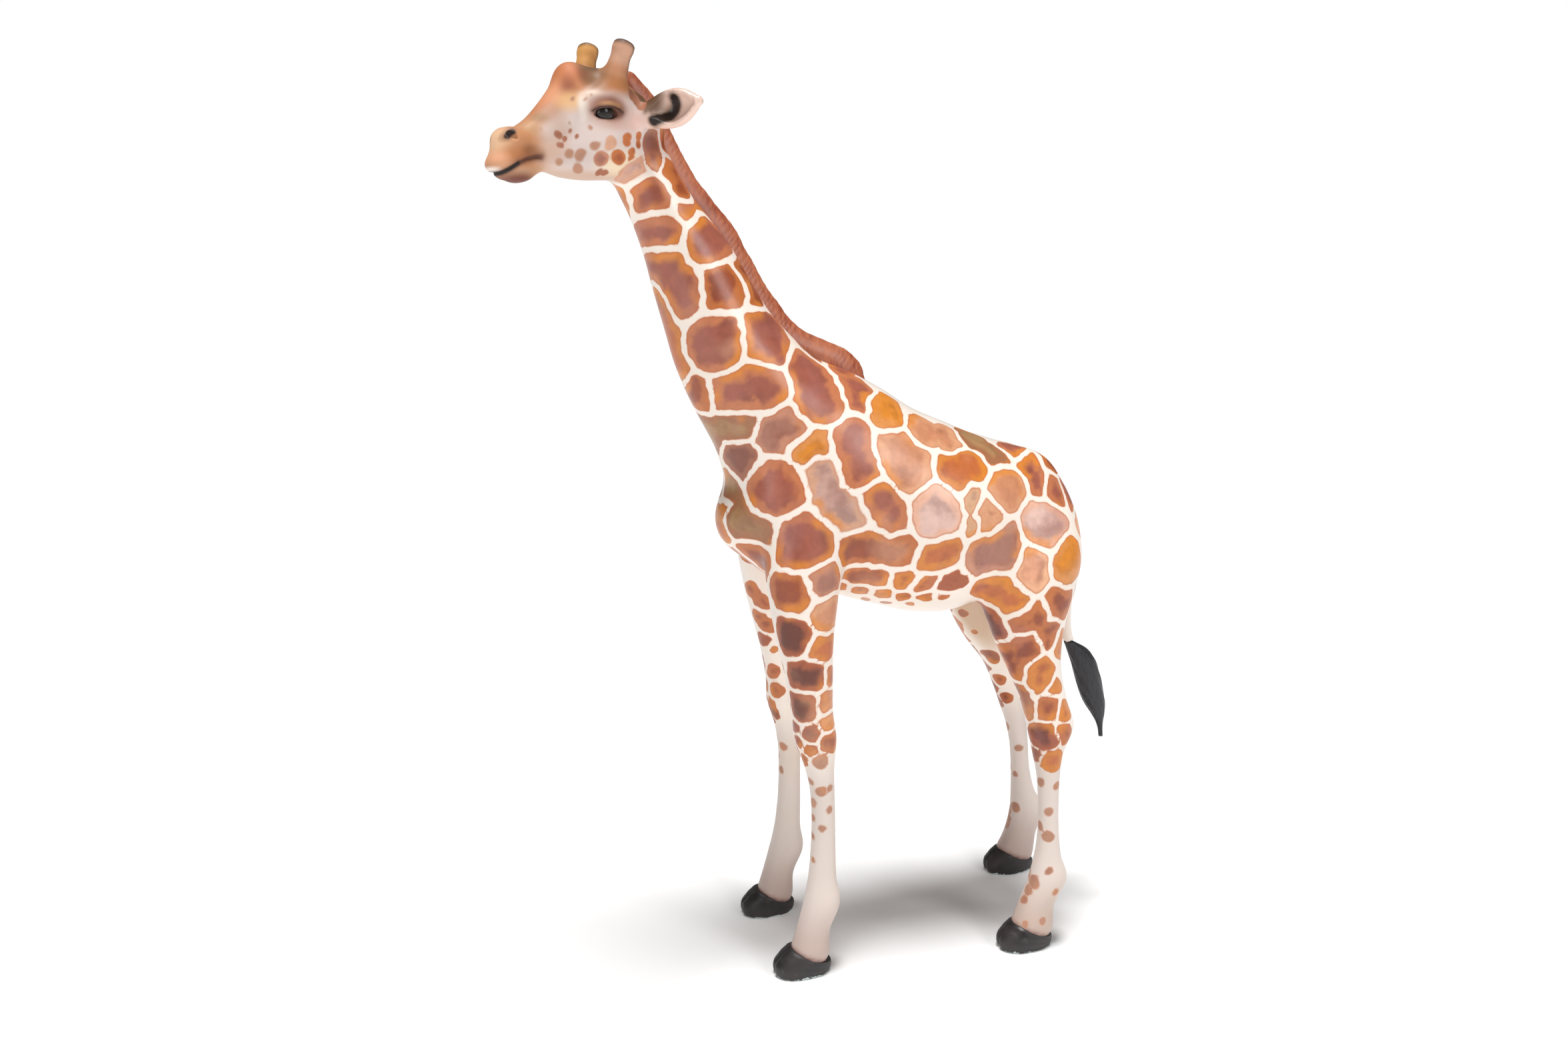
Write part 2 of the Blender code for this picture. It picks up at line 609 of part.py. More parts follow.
def thinned(obj):
    """Collapses edges zone by zone until each has about its share of triangles."""
    for lowest, highest, triangles in TRIANGLE_ZONES:
        mesh = obj.data
        mesh.calc_loop_triangles()
        heights = coordinates(mesh)[:, 2]
        chosen = (heights >= lowest) & (heights < highest)
        corners = np.empty(len(mesh.loop_triangles) * 3, np.int32)
        mesh.loop_triangles.foreach_get("vertices", corners)
        in_zone = chosen[corners.reshape(-1, 3)].all(1).sum()
        group = obj.vertex_groups.new(name="zone")
        group.add(np.flatnonzero(chosen).tolist(), 1.0, "REPLACE")
        modifier = obj.modifiers.new("fewer_faces", "DECIMATE")
        modifier.vertex_group = group.name
        modifier.ratio = 1 - (in_zone - triangles) / len(mesh.loop_triangles)
        modifier.use_collapse_triangulate = True
        obj = baked(obj, obj.name)
        obj.vertex_groups.clear()
    return obj


def flipped(faces):
    return [tuple(reversed(face)) for face in faces]


def mirrored(shell):
    verts, faces = shell
    return verts * np.array([1, -1, 1]), flipped(faces)


def of_head(shell):
    """A shell moved out of the head's axes, which are left-handed, so its faces turn round on the way."""
    verts, faces = shell
    return from_head_axes(verts), flipped(faces)


def figure_shells():
    """Closed shells that together fill the figure."""
    shells = [loft.shell() for loft in (TRUNK, RUMP, NECK, MANE, DOCK, *HOOF_LOFTS.values())]
    shells += [loft.shell() for loft in (FRONT_LEG_LEFT, HIND_LEG_LEFT)]
    shells += [mirrored(loft.shell()) for loft in (FRONT_LEG_RIGHT, HIND_LEG_RIGHT)]
    shells += [of_head(SKULL.shell()), of_head(JAW.shell())]
    for shell in [HORN.shell(), EAR.shell()] + [ball_shell(c, r) for c, r, _, _ in HEAD_SWELLINGS]:
        shells += [of_head(shell), of_head(mirrored(shell))]
    for centre, radii, _ in BODY_SWELLINGS:
        shells += [ball_shell(centre, radii), mirrored(ball_shell(centre, radii))]
    return shells


# ---------------------------------------------------------------- parting the whole into named pieces
def box_cutter(centre, axes, halves, grow):
    """A box with the given middle, unit axes and half sizes, `grow` larger all round."""
    signs = np.array([(x, y, z) for x in (-1, 1) for y in (-1, 1) for z in (-1, 1)])
    corners = np.array(centre) + (signs * (np.array(halves) + grow)) @ np.array(axes)
    faces = [(0, 1, 3, 2), (4, 6, 7, 5), (0, 4, 5, 1), (2, 3, 7, 6), (0, 2, 6, 4), (1, 5, 7, 3)]
    if np.dot(np.cross(axes[0], axes[1]), axes[2]) < 0:
        faces = flipped(faces)
    return object_from("cutter", corners, faces)


def beyond_plane(point, normal, sideways, halves):
    """Cutter maker for a box with one face at `point`; `halves` are along normal, sideways, third."""
    normal, sideways = unit(normal), unit(sideways)
    third = np.cross(normal, sideways)
    middle = np.array(point) + normal * halves[0]
    return lambda grow: box_cutter(middle, (normal, sideways, third), halves, grow)


def ball_cutter(centre, radius):
    def make(grow):
        verts, faces = ball_shell(centre, (radius + grow,) * 3, rings=10, turns=12)
        return object_from("cutter", verts, faces)
    return make


def mane_cutter(grow):
    """A ribbon that follows the crest and takes in a little of the neck under it."""
    half = MANE_CUT_HALF_WIDTH + grow
    rings = []
    for at, _, high, _, _, offset in MANE.table[:: len(MANE.table) // MANE_CUT_STEPS]:
        low = high - MANE_CUT_DEPTH - grow
        rings.append([
            MANE.along * at + MANE.across * u + MANE.side * (offset + s)
            for u, s in ((low, -half), (low, half), (high + 0.03, half), (high + 0.03, -half))
        ])
    beyond = MANE.along * (0.04 + grow)
    rings = [np.array(ring) for ring in rings]
    rings = [rings[0] - beyond, *rings, rings[-1] + beyond]
    faces = [
        (r * 4 + k, r * 4 + (k + 1) % 4, r * 4 + 4 + (k + 1) % 4, r * 4 + 4 + k)
        for r in range(len(rings) - 1) for k in range(4)
    ]
    last = (len(rings) - 1) * 4
    faces += [(3, 2, 1, 0), (last, last + 1, last + 2, last + 3)]
    return object_from("cutter", np.concatenate(rings), faces)


def boolean(obj, cutter, operation):
    modifier = obj.modifiers.new("cut", "BOOLEAN")
    modifier.operation = operation
    modifier.solver = "EXACT"
    modifier.object = cutter
    made = baked(obj, obj.name)
    bpy.data.objects.remove(cutter, do_unlink=True)
    return made


def part_off(rest, name, make_cutter):
    """Takes what the cutter holds off `rest` as a new object, with a thin gap between the two."""
    piece = bpy.data.objects.new(name, rest.data.copy())
    bpy.context.scene.collection.objects.link(piece)
    piece = boolean(piece, make_cutter(0.0), "INTERSECT")
    return boolean(rest, make_cutter(JOINT_GAP), "DIFFERENCE"), piece


def head_plane(point, normal, halves, mirror=1):
    """beyond_plane() for a point and normal in the head's axes, on the left (1) or right (-1) side."""
    flip = np.array([1, mirror, 1])
    origin = from_head_axes(np.array(point) * flip)[0]
    tip = from_head_axes((np.array(point) + unit(normal)) * flip)[0]
    across = np.cross(tip - origin, (0, 0, 1)) if abs(tip[2] - origin[2]) < 0.9 else (0, 1, 0)
    return beyond_plane(origin, tip - origin, across, halves)


def part_figure(whole):
    pieces = []
    rest = whole

    def take(name, maker, source=None):
        nonlocal rest
        rest, piece = part_off(rest, name, maker)
        pieces.append(piece)

    rest = boolean(rest, box_cutter((0, 0, -0.1), np.eye(3), (1, 1, 0.1), 0), "DIFFERENCE")
    for name, (x, y) in HOOVES.items():
        normal = np.array([-HOOF_TOP[1], 0, -1])
        take(f"hoof_{name}", beyond_plane((x, y, HOOF_TOP[0]), normal, (0, 1, 0), (0.09, 0.09, 0.12)))
    take("tail_dock", beyond_plane((0.425, 0, 0.835), (0, 0, -1), (0, 1, 0), (0.10, 0.022, 0.035)))
    for side, sign in (("left", -1), ("right", 1)):
        front = (-0.26, sign * 0.151, FRONT_LEG_CUT)
        take(f"leg_front_{side}", beyond_plane(front, (0, 0, -1), (0, 1, 0), (0.45, 0.150, 0.15)))
        hind = (0.26, sign * 0.151, HIND_LEG_CUT)
        take(f"leg_hind_{side}", beyond_plane(hind, HIND_CUT_NORMAL, (0, 1, 0), (0.50, 0.150, 0.45)))
    take("mane", mane_cutter)
    for side, sign in (("left", 1), ("right", -1)):
        root = np.array(EAR_ROOT) + EAR_ALONG * EAR_CUT
        take(f"ear_{side}", head_plane(root, EAR_ALONG, (0.1, 0.06, 0.06), sign))
        root = HORN.origin + HORN.along * HORN_CUT
        take(f"ossicone_{side}", head_plane(root, HORN.along, (0.05, 0.05, 0.05), sign))
        centre = from_head_axes(np.array(EYE_CENTRE) * np.array([1, sign, 1]))[0]
        rest = boolean(rest, ball_cutter(centre, EYE_RADIUS)(JOINT_GAP), "DIFFERENCE")
        eye = ball_shell(centre, (EYE_RADIUS,) * 3, rings=10, turns=12)
        pieces.append(object_from(f"eye_{side}", *eye))
    take("head", head_plane((0.060, 0, 1.712), (0.844, 0, 0.537), (0.25, 0.25, 0.25)))
    middle = NECK.along * NECK_CUT + NECK.across * 0.36
    take("neck", beyond_plane(middle, NECK.along, (0, 1, 0), (0.5, 0.2, 0.35)))
    rest.name = "trunk"
    pieces.append(rest)
    pieces.append(object_from("tail_tuft", *TUFT.shell(12, 30, capped=False)))
    return pieces


# ---------------------------------------------------------------- materials and the finished parts
def paint(name, colour, roughness):
    material = bpy.data.materials.new(name)
    material.diffuse_color = (*colour, 1.0)
    material.use_nodes = True
    shader = material.node_tree.nodes["Principled BSDF"]
    shader.inputs["Base Color"].default_value = (*colour, 1.0)
    shader.inputs["Roughness"].default_value = roughness
    shader.inputs["Metallic"].default_value = 0.0
    return material


PAINTS = {  # name: colour, roughness, and the starts of the names of the nodes that wear it
    "patched_coat": ((0.44, 0.15, 0.07), 0.35, ("neck", "trunk", "leg_")),
    "tan_face": ((0.62, 0.36, 0.20), 0.35, ("head", "ear_", "ossicone_")),
    "brown_crest": ((0.30, 0.10, 0.05), 0.40, ("mane",)),
    "cream_dock": ((0.85, 0.76, 0.68), 0.40, ("tail_dock",)),
    "black_gloss": ((0.02, 0.02, 0.022), 0.28, ("hoof_", "tail_tuft", "eye_")),
}


def finish(piece, materials):
    """Moves a piece into the row's frame, gives it its paint and shades it smooth."""
    piece.location = FRAME_SHIFT
    name = next(name for name, (_, _, starts) in PAINTS.items() if piece.name.startswith(starts))
    piece.data.materials.clear()
    piece.data.materials.append(materials[name])
    piece.data.shade_smooth()
    piece.data.set_sharp_from_angle(angle=SHARP_ANGLE)


def main():
    clear_scene()
    whole = thinned(drawn_out(figure_shells(), "whole", flesh, VOXELS))
    materials = {name: paint(name, colour, roughness) for name, (colour, roughness, _) in PAINTS.items()}
    for piece in part_figure(whole):
        finish(piece, materials)


if __name__ == "__main__":
    main()
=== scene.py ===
import math

import bmesh
import bpy
import numpy as np
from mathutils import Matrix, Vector


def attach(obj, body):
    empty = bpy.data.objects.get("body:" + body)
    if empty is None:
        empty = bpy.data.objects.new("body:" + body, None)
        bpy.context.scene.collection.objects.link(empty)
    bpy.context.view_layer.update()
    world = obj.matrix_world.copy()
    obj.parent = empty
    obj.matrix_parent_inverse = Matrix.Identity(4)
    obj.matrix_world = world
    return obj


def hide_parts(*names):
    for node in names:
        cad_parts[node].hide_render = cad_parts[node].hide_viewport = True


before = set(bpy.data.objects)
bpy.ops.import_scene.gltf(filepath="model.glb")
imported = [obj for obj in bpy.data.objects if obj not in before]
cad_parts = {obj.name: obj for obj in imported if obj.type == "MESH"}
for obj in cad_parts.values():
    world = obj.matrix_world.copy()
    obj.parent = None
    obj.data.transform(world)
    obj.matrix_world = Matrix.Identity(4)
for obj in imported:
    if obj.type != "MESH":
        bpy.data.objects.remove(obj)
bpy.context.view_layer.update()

# ---- Floor, lights and camera
# The figure stands indoors on a plain white floor that runs on out of sight, under broad soft lamps.
# The eye is that of a standing adult a little in front of the figure and to its left.
EYE_HEIGHT = 1.56
EYE_PLACE = (-0.875, -2.633, EYE_HEIGHT)
LOOK_DOWN = math.radians(11.43)
LOOK_RIGHT = math.radians(16.3)
LENS_MM = 29.08
SENSOR_MM = 36.0
FLOOR_HALF = 30.0
FLOOR_GLOW = 0.03
ROOM_LIGHT = 0.10
CEILING_LIGHT = 0.96


def placed(name, data):
    """A new object in the scene."""
    obj = bpy.data.objects.new(name, data)
    bpy.context.scene.collection.objects.link(obj)
    return obj


def stage_camera():
    data = bpy.data.cameras.new("camera")
    data.lens, data.sensor_width = LENS_MM, SENSOR_MM
    data.clip_start, data.clip_end = 0.05, 200.0
    camera = placed("camera", data)
    camera.location = EYE_PLACE
    camera.rotation_euler = (math.pi / 2 - LOOK_DOWN, 0.0, -LOOK_RIGHT)
    bpy.context.scene.camera = camera


def area_lamp(name, place, target, size, watts):
    data = bpy.data.lights.new(name, "AREA")
    data.shape = "RECTANGLE"
    data.size, data.size_y = size
    data.energy = watts
    lamp = placed(name, data)
    lamp.location = place
    lamp.rotation_euler = (Vector(target) - Vector(place)).to_track_quat("-Z", "Y").to_euler()


def ceiling_light():
    """A wide bank of soft lamps overhead, even over the whole floor."""
    data = bpy.data.lights.new("ceiling", "SUN")
    data.energy = CEILING_LIGHT * math.pi
    data.angle = math.radians(16)
    placed("ceiling", data).rotation_euler = (math.radians(4), math.radians(-3), 0.0)


def plain_floor():
    material = bpy.data.materials.new("white_floor")
    material.use_nodes = True
    inputs = material.node_tree.nodes["Principled BSDF"].inputs
    inputs["Base Color"].default_value = (0.92, 0.92, 0.92, 1.0)
    inputs["Roughness"].default_value = 0.9
    inputs["Specular IOR Level"].default_value = 0.0
    inputs["Emission Color"].default_value = (1.0, 1.0, 1.0, 1.0)
    inputs["Emission Strength"].default_value = FLOOR_GLOW
    mesh = bpy.data.meshes.new("floor")
    corners = [(x * FLOOR_HALF, y * FLOOR_HALF, 0.0) for x, y in ((-1, -1), (1, -1), (1, 1), (-1, 1))]
    mesh.from_pydata(corners, [], [(0, 1, 2, 3)])
    mesh.materials.append(material)
    placed("floor", mesh)


def white_room():
    """A room that looks white and lights the figure evenly from all round."""
    world = bpy.data.worlds.new("white_room")
    world.use_nodes = True
    nodes, links = world.node_tree.nodes, world.node_tree.links
    strength = nodes.new("ShaderNodeMapRange")
    strength.inputs["To Min"].default_value = ROOM_LIGHT
    links.new(nodes.new("ShaderNodeLightPath").outputs["Is Camera Ray"], strength.inputs["Value"])
    nodes["Background"].inputs["Color"].default_value = (1.0, 1.0, 1.0, 1.0)
    links.new(strength.outputs["Result"], nodes["Background"].inputs["Strength"])
    bpy.context.scene.world = world
    bpy.context.scene.view_settings.view_transform = "Standard"


stage_camera()
plain_floor()
white_room()
area_lamp("key", (2.6, -4.4, 3.4), (0.1, 0.0, 1.0), (1.8, 2.2), 82.0)
area_lamp("fill", (-3.6, -3.2, 2.4), (-0.2, 0.0, 1.2), (2.0, 2.6), 38.0)
ceiling_light()

# ---- Skin
# One closed glass-fibre shell makes the trunk, neck, head, ears, horns, legs and tail root. It is about
# 4 mm thick, moulded in halves and sanded, so no seam shows. Hooves, mane, eyes and tuft are set into it.
FRAME_SHIFT = np.array([0.181, 0.0, 0.0])
REACH = 0.12
CAP_RINGS = 4
HEAD_PIVOT = np.array([-0.577, 0.0, 0.0])
HEAD_TURN = math.radians(26.0)
NECK_RISE = math.radians(60.0)
FRONT_STEP = 0.016
HIND_STEP = 0.135
MIRROR = np.array([1, -1, 1])


def unit(vector):
    return np.array(vector, float) / np.linalg.norm(vector)


def smooth_table(rows, count=300):
    """Rows read along smooth curves through the given ones, evenly spaced in the first column."""
    rows = np.array(rows, float)
    at, step = rows[:, 0], np.diff(rows[:, 0])
    tangent = np.gradient(rows, at, axis=0)
    wanted = np.linspace(at[0], at[-1], count)
    i = np.clip(np.searchsorted(at, wanted, side="right") - 1, 0, len(step) - 1)
    t, span = ((wanted - at[i]) / step[i])[:, None], step[i][:, None]
    return (
        (2 * t**3 - 3 * t**2 + 1) * rows[i]
        + (t**3 - 2 * t**2 + t) * span * tangent[i]
        + (3 * t**2 - 2 * t**3) * rows[i + 1]
        + (t**3 - t**2) * span * tangent[i + 1]
    )


def ball_rings(rings, turns, gap):
    """Rings round a unit ball from the lowest to the highest; gap is the angle left open at each pole."""
    polar = np.linspace(math.pi - gap, gap, rings)[:, None]
    azimuth = np.linspace(0, 2 * math.pi, turns, endpoint=False)[None]
    level = np.cos(polar) * np.ones_like(azimuth)
    return np.stack([np.sin(polar) * np.cos(azimuth), np.sin(polar) * np.sin(azimuth), level], -1)


def closed_tube(rings, tips=None):
    """Vertices and faces of a tube through equal rings, closed by a fan to a tip at either end."""
    count, turns, _ = rings.shape
    tips = rings[[0, -1]].mean(1) if tips is None else tips
    row, k = np.meshgrid(np.arange(count - 1), np.arange(turns), indexing="ij")
    here, after = row * turns + k, row * turns + (k + 1) % turns
    quads = np.stack([here, after, after + turns, here + turns], -1).reshape(-1, 4).tolist()
    k, after, tip = np.arange(turns), (np.arange(turns) + 1) % turns, np.full(turns, count * turns)
    last = (count - 1) * turns
    fans = [np.stack([after, k, tip], 1), np.stack([last + k, last + after, tip + 1], 1)]
    return np.concatenate([rings.reshape(-1, 3), tips]), quads + np.concatenate(fans).tolist()


class Loft:
    """A rounded solid drawn through sections that all stand square to one direction.

    Each row is, in millimetres from `origin`: distance along, lowest and highest value across, value
    across where it is widest, half width, and the offset sideways unless it is 0. `square` is 2 for an
    oval section and more for a squarer one. `ends` are the lengths of the two rounded caps, in metres.
    """

    def __init__(self, rows, along, across, ends, square=2.0, origin=(0, 0, 0)):
        self.table = smooth_table(np.array([(*row, 0.0)[:6] for row in rows]) / 1000)
        self.origin = np.array(origin, float)
        self.along = unit(along)
        self.across = unit(across)
        self.side = np.cross(self.across, self.along)
        self.ends, self.square = ends, square
        corners = self.rings(12).reshape(-1, 3)
        self.low, self.high = corners.min(0) - REACH, corners.max(0) + REACH

    def field(self, points):
        """How far each point is outside the loft, roughly; less than 0 inside."""
        value = np.full(len(points), REACH)
        near = np.flatnonzero(((points > self.low) & (points < self.high)).all(1))
        q = points[near] - self.origin
        at = q @ self.along
        first, last = self.table[0, 0], self.table[-1, 0]
        over = np.where(at < first, (first - at) / self.ends[0], np.maximum(at - last, 0) / self.ends[1])
        beyond = np.where(at < first, first - at, np.maximum(at - last, 0))
        low, high, widest, half, offset = (np.interp(at, self.table[:, 0], c) for c in self.table[:, 1:].T)
        u = q @ self.across - widest
        s = q @ self.side - offset
        n = self.square
        reach = np.where(u > 0, high - widest, widest - low)
        ratio = (np.abs(s / half) ** n + np.abs(u / reach) ** n) ** (2 / n) + over**2
        ratio = np.sqrt(np.maximum(ratio, 1e-12))
        distance = np.sqrt(s**2 + u**2 + beyond**2)
        core = np.minimum(half, reach)
        value[near] = np.minimum(np.where(ratio > 0.05, distance * (1 - 1 / ratio), -core), REACH)
        return value

    def rings(self, turns):
        """Rings of points around the loft, its two caps included."""
        angle = np.linspace(0, 2 * np.pi, turns, endpoint=False)
        cap = np.linspace(0, np.pi / 2, CAP_RINGS + 2)[1:-1]
        body = self.table[np.linspace(0, len(self.table) - 1, len(self.table) // 6).astype(int)]
        ring_rows = [(body[0], -self.ends[0] * np.sin(a), np.cos(a)) for a in cap[::-1]]
        ring_rows += [(row, 0.0, 1.0) for row in body]
        ring_rows += [(self.table[-1], self.ends[1] * np.sin(a), np.cos(a)) for a in cap]
        rings = []
        for (at, low, high, widest, half, offset), shift, scale in ring_rows:
            up = np.where(np.sin(angle) > 0, high - widest, widest - low) * np.sin(angle) * scale + widest
            out = half * scale * np.cos(angle) + offset
            middle = self.origin + (at + shift) * self.along
            rings.append(middle + up[:, None] * self.across + out[:, None] * self.side)
        return np.array(rings)

    def shell(self):
        return closed_tube(self.rings(24))


def swelling(points, centre, radii, tilt=0.0):
    """Field of an ellipsoid, tilted nose-down by `tilt` degrees about its sideways axis."""
    q = points - np.array(centre)
    c, s = math.cos(math.radians(tilt)), math.sin(math.radians(tilt))
    q = np.stack([q[:, 0] * c - q[:, 2] * s, q[:, 1], q[:, 0] * s + q[:, 2] * c], 1)
    ratio = np.maximum(np.linalg.norm(q / np.array(radii), axis=1), 1e-6)
    distance = np.linalg.norm(q, axis=1)
    return np.where(ratio > 0.05, distance * (1 - 1 / ratio), -min(radii))


def ball_shell(centre, radii):
    """Closed surface of an ellipsoid, as vertices and faces."""
    poles = np.array([(0, 0, -1), (0, 0, 1)])
    return closed_tube(ball_rings(7, 12, math.pi / 8) * radii + centre, poles * radii + centre)


def blend(a, b, width):
    """Union of two fields whose crease is filled over `width`."""
    h = np.clip(0.5 + 0.5 * (b - a) / width, 0, 1)
    return b * (1 - h) + a * h - width * h * (1 - h)


def hollow(a, b, width):
    """Field a with b scooped out of it, its rim rounded over `width`."""
    return -blend(-a, b, width)


TRUNK = Loft([  # x, lowest z, highest z, z where widest, half width, y
    (-310, 890, 1210, 1040, 113),
    (-288, 882, 1232, 1040, 118),
    (-186, 843, 1308, 1038, 141),
    (-84, 810, 1298, 1018, 162),
    (17, 784, 1247, 991, 173),
    (119, 787, 1204, 971, 168),
    (180, 816, 1174, 955, 152),
    (230, 848, 1130, 940, 132),
], along=(1, 0, 0), across=(0, 0, 1), ends=(0.085, 0.08))
RUMP = Loft([  # its sections stand square to the falling line of the back
    (-320, 945, 1128, 1000, 124),
    (-260, 908, 1160, 985, 144),
    (-200, 885, 1172, 970, 149),
    (-160, 880, 1172, 960, 147),
], along=(0.927, 0, -0.375), across=(0.375, 0, 0.927), ends=(0.06, 0.206))

NECK_ALONG = (-math.cos(NECK_RISE), 0, math.sin(NECK_RISE))
NECK_ACROSS = (math.sin(NECK_RISE), 0, math.cos(NECK_RISE))
NECK = Loft([  # along, throat side, nape side, where widest, half width, y
    (1036, 238, 520, 378, 124),
    (1204, 213, 521, 373, 121),
    (1311, 212, 486, 360, 111),
    (1433, 224, 455, 348, 96),
    (1521, 246, 452, 352, 85),
    (1595, 265, 450, 360, 76),
    (1667, 285, 439, 363, 69),
    (1738, 298, 429, 366, 63),
    (1819, 305, 431, 370, 58),
    (1900, 317, 431, 376, 51),
], along=NECK_ALONG, across=NECK_ACROSS, ends=(0.08, 0.04))


FRONT_LEG = [  # a left leg's rows as for a Loft, each with its share of the right leg's step back
    (56, -311, -223, -266, 43, 144, 0),
    (97, -299, -222, -259, 37, 144, 0),
    (165, -281, -197, -239, 37, 142, 0),
    (218, -271, -206, -237, 29, 141, 0.1),
    (279, -265, -208, -237, 26, 140, 0.2),
    (381, -263, -210, -236, 25, 139, 0.3),
    (427, -266, -211, -238, 26, 138, 0.4),
    (483, -278, -212, -245, 33, 137, 0.6),
    (549, -301, -207, -254, 42, 135, 0.8),
    (605, -307, -215, -261, 43, 134, 1),
    (676, -317, -215, -265, 46, 130, 0.8),
    (769, -337, -212, -275, 54, 124, 0.5),
    (849, -350, -201, -278, 61, 115, 0),
    (950, -357, -181, -271, 65, 104, -0.4),
    (1060, -325, -176, -257, 56, 92, 0),
    (1160, -270, -165, -225, 36, 75, 0),
]
HIND_LEG = [
    (56, 216, 316, 266, 43, 181, 1),
    (97, 231, 317, 273, 38, 181, 1.03),
    (165, 257, 348, 303, 37, 180, 0.95),
    (218, 269, 332, 302, 29, 179, 0.86),
    (269, 275, 325, 301, 25, 178, 0.8),
    (371, 274, 323, 299, 24, 173, 0.71),
    (422, 269, 325, 298, 27, 170, 0.64),
    (462, 261, 330, 296, 33, 167, 0.58),
    (527, 247, 359, 303, 39, 160, 0.48),
    (584, 235, 344, 290, 43, 152, 0.36),
    (658, 207, 331, 269, 51, 138, 0.13),
    (736, 175, 341, 259, 63, 120, 0),
    (830, 145, 373, 261, 77, 104, 0),
    (920, 124, 396, 266, 78, 89, 0),
    (1000, 150, 385, 264, 59, 68, 0),
    (1070, 190, 345, 260, 32, 45, 0),
]


def leg(rows, back):
    """Loft of a leg that stands the distance `back` behind the left one."""
    rows = np.array(rows, float)
    rows[:, 1:4] += 1000 * back * rows[:, 6:]
    return Loft(rows[:, :6], along=(0, 0, 1), across=(1, 0, 0), ends=(0.05, 0.08))


LEGS = [  # left and right leg, both as on the left side, and the width of the blend with the trunk
    (leg(FRONT_LEG, 0.0), leg(FRONT_LEG, FRONT_STEP), 0.030),
    (leg(HIND_LEG, 0.0), leg(HIND_LEG, HIND_STEP), 0.034),
]
DOCK = Loft([  # height, front x, rear x, x where widest, half width
    (672, 418, 444, 431, 13),
    (700, 411, 436, 424, 12.5),
    (770, 408, 432, 420, 12),
    (850, 402, 432, 418, 14),
    (920, 392, 430, 412, 18),
    (990, 362, 408, 386, 22),
], along=(0, 0, 1), across=(1, 0, 0), ends=(0.0002, 0.03))


SKULL = Loft([  # forward, lowest, highest, where widest, half width
    (10, 1794, 1887, 1850, 49),
    (51, 1779, 1907, 1853, 63),
    (97, 1773, 1933, 1855, 67),
    (142, 1773, 1937, 1850, 63),
    (171, 1771, 1937, 1839, 54),
    (193, 1769, 1929, 1829, 48),
    (215, 1767, 1899, 1816, 44),
    (244, 1761, 1864, 1802, 40),
    (274, 1753, 1834, 1789, 36),
    (302, 1746, 1815, 1780, 36),
    (317, 1742, 1806, 1775, 34),
], along=(1, 0, 0), across=(0, 0, 1), ends=(0.046, 0.02), square=2.1)
JAW = Loft([
    (66, 1728, 1824, 1779, 41),
    (107, 1727, 1824, 1775, 47),
    (152, 1725, 1814, 1768, 41),
    (203, 1728, 1794, 1760, 32),
    (249, 1736, 1779, 1755, 26),
    (285, 1719, 1768, 1741, 26),
    (310, 1715, 1758, 1736, 26),
    (325, 1719, 1748, 1734, 23),
], along=(1, 0, 0), across=(0, 0, 1), ends=(0.03, 0.014), square=2.2)
HORN = Loft([  # distance from the root, then the section
    (-20, -31, 29, 0, 29),
    (12, -25, 24, 0, 24),
    (35, -22, 19, 0, 19.5),
    (52, -21, 17.2, 0, 18),
    (68, -23.2, 18.2, 0, 20.5),
    (75, -23, 17, 0, 20),
], along=(-0.26, 0.15, 0.96), across=(0.96, 0, 0.26), ends=(0.01, 0.009),
    origin=(0.11, 0.046, 1.9055), square=2.2)
RIGHT_HORN_SHIFT = np.array([0.006, 0.0, 0.005])  # the right horn stands a little further forward and up
EAR_ALONG = unit((-0.44, 0.87, 0.20))
EAR_OPEN = unit(np.cross((0, 0, 1), EAR_ALONG) * -1)  # the way that the cup opens: forward and outward
EAR_ROOT = (0.053, 0.053, 1.845)
EAR = Loft([  # distance from the root, back and front of the cup, then where widest and half height
    (0, -18, 16, 0, 22),
    (30, -20, 18, 0, 28),
    (65, -18, 19, 0, 36),
    (95, -13, 17, 0, 34),
    (118, -8, 14, 0, 22),
    (132, -4, 10, 0, 10),
], along=EAR_ALONG, across=EAR_OPEN, ends=(0.02, 0.008), origin=EAR_ROOT)
EAR_SCOOP = Loft([  # the hollow of the cup, whose middle lies in front of the ear
    (40, 4, 80, 36, 16),
    (60, -12, 80, 36, 31),
    (88, -8, 80, 36, 33),
    (110, -2, 80, 36, 21),
    (120, 3, 80, 36, 12),
], along=EAR_ALONG, across=EAR_OPEN, ends=(0.012, 0.008), origin=EAR_ROOT)
EYE_CENTRE = (0.1435, 0.0570, 1.8475)
EYE_RADIUS = 0.0225
LID_RADIUS = 0.0262
EYE_OPENING = (0.1450, 0.0830, 1.8445)
EYE_OPENING_RADII = (0.0290, 0.0300, 0.0105)
NOSTRIL = (0.3295, 0.0370, 1.7985)
NOSTRIL_RADII = (0.0140, 0.0130, 0.0066)
NOSTRIL_TILT = -42
HEAD_SWELLINGS = [  # centre, radii, tilt, width of the blend
    ((0.178, 0.000, 1.908), (0.031, 0.029, 0.032), 0, 0.018),  # boss on the brow
    ((0.088, 0.034, 1.793), (0.052, 0.024, 0.046), 0, 0.024),  # cheek
    ((0.145, 0.050, 1.850), (0.042, 0.026, 0.036), 0, 0.022),  # rim of the eye socket
    ((0.132, 0.051, 1.880), (0.036, 0.020, 0.014), 8, 0.020),  # brow
    ((0.316, 0.017, 1.790), (0.022, 0.022, 0.020), 0, 0.016),  # nostril wing
    ((0.316, 0.000, 1.777), (0.026, 0.029, 0.033), 28, 0.018),  # slope of the nose
    ((0.327, 0.000, 1.753), (0.036, 0.037, 0.021), 24, 0.022),  # upper lip
    ((0.302, 0.000, 1.737), (0.034, 0.026, 0.021), 0, 0.008),  # lower lip and chin
]


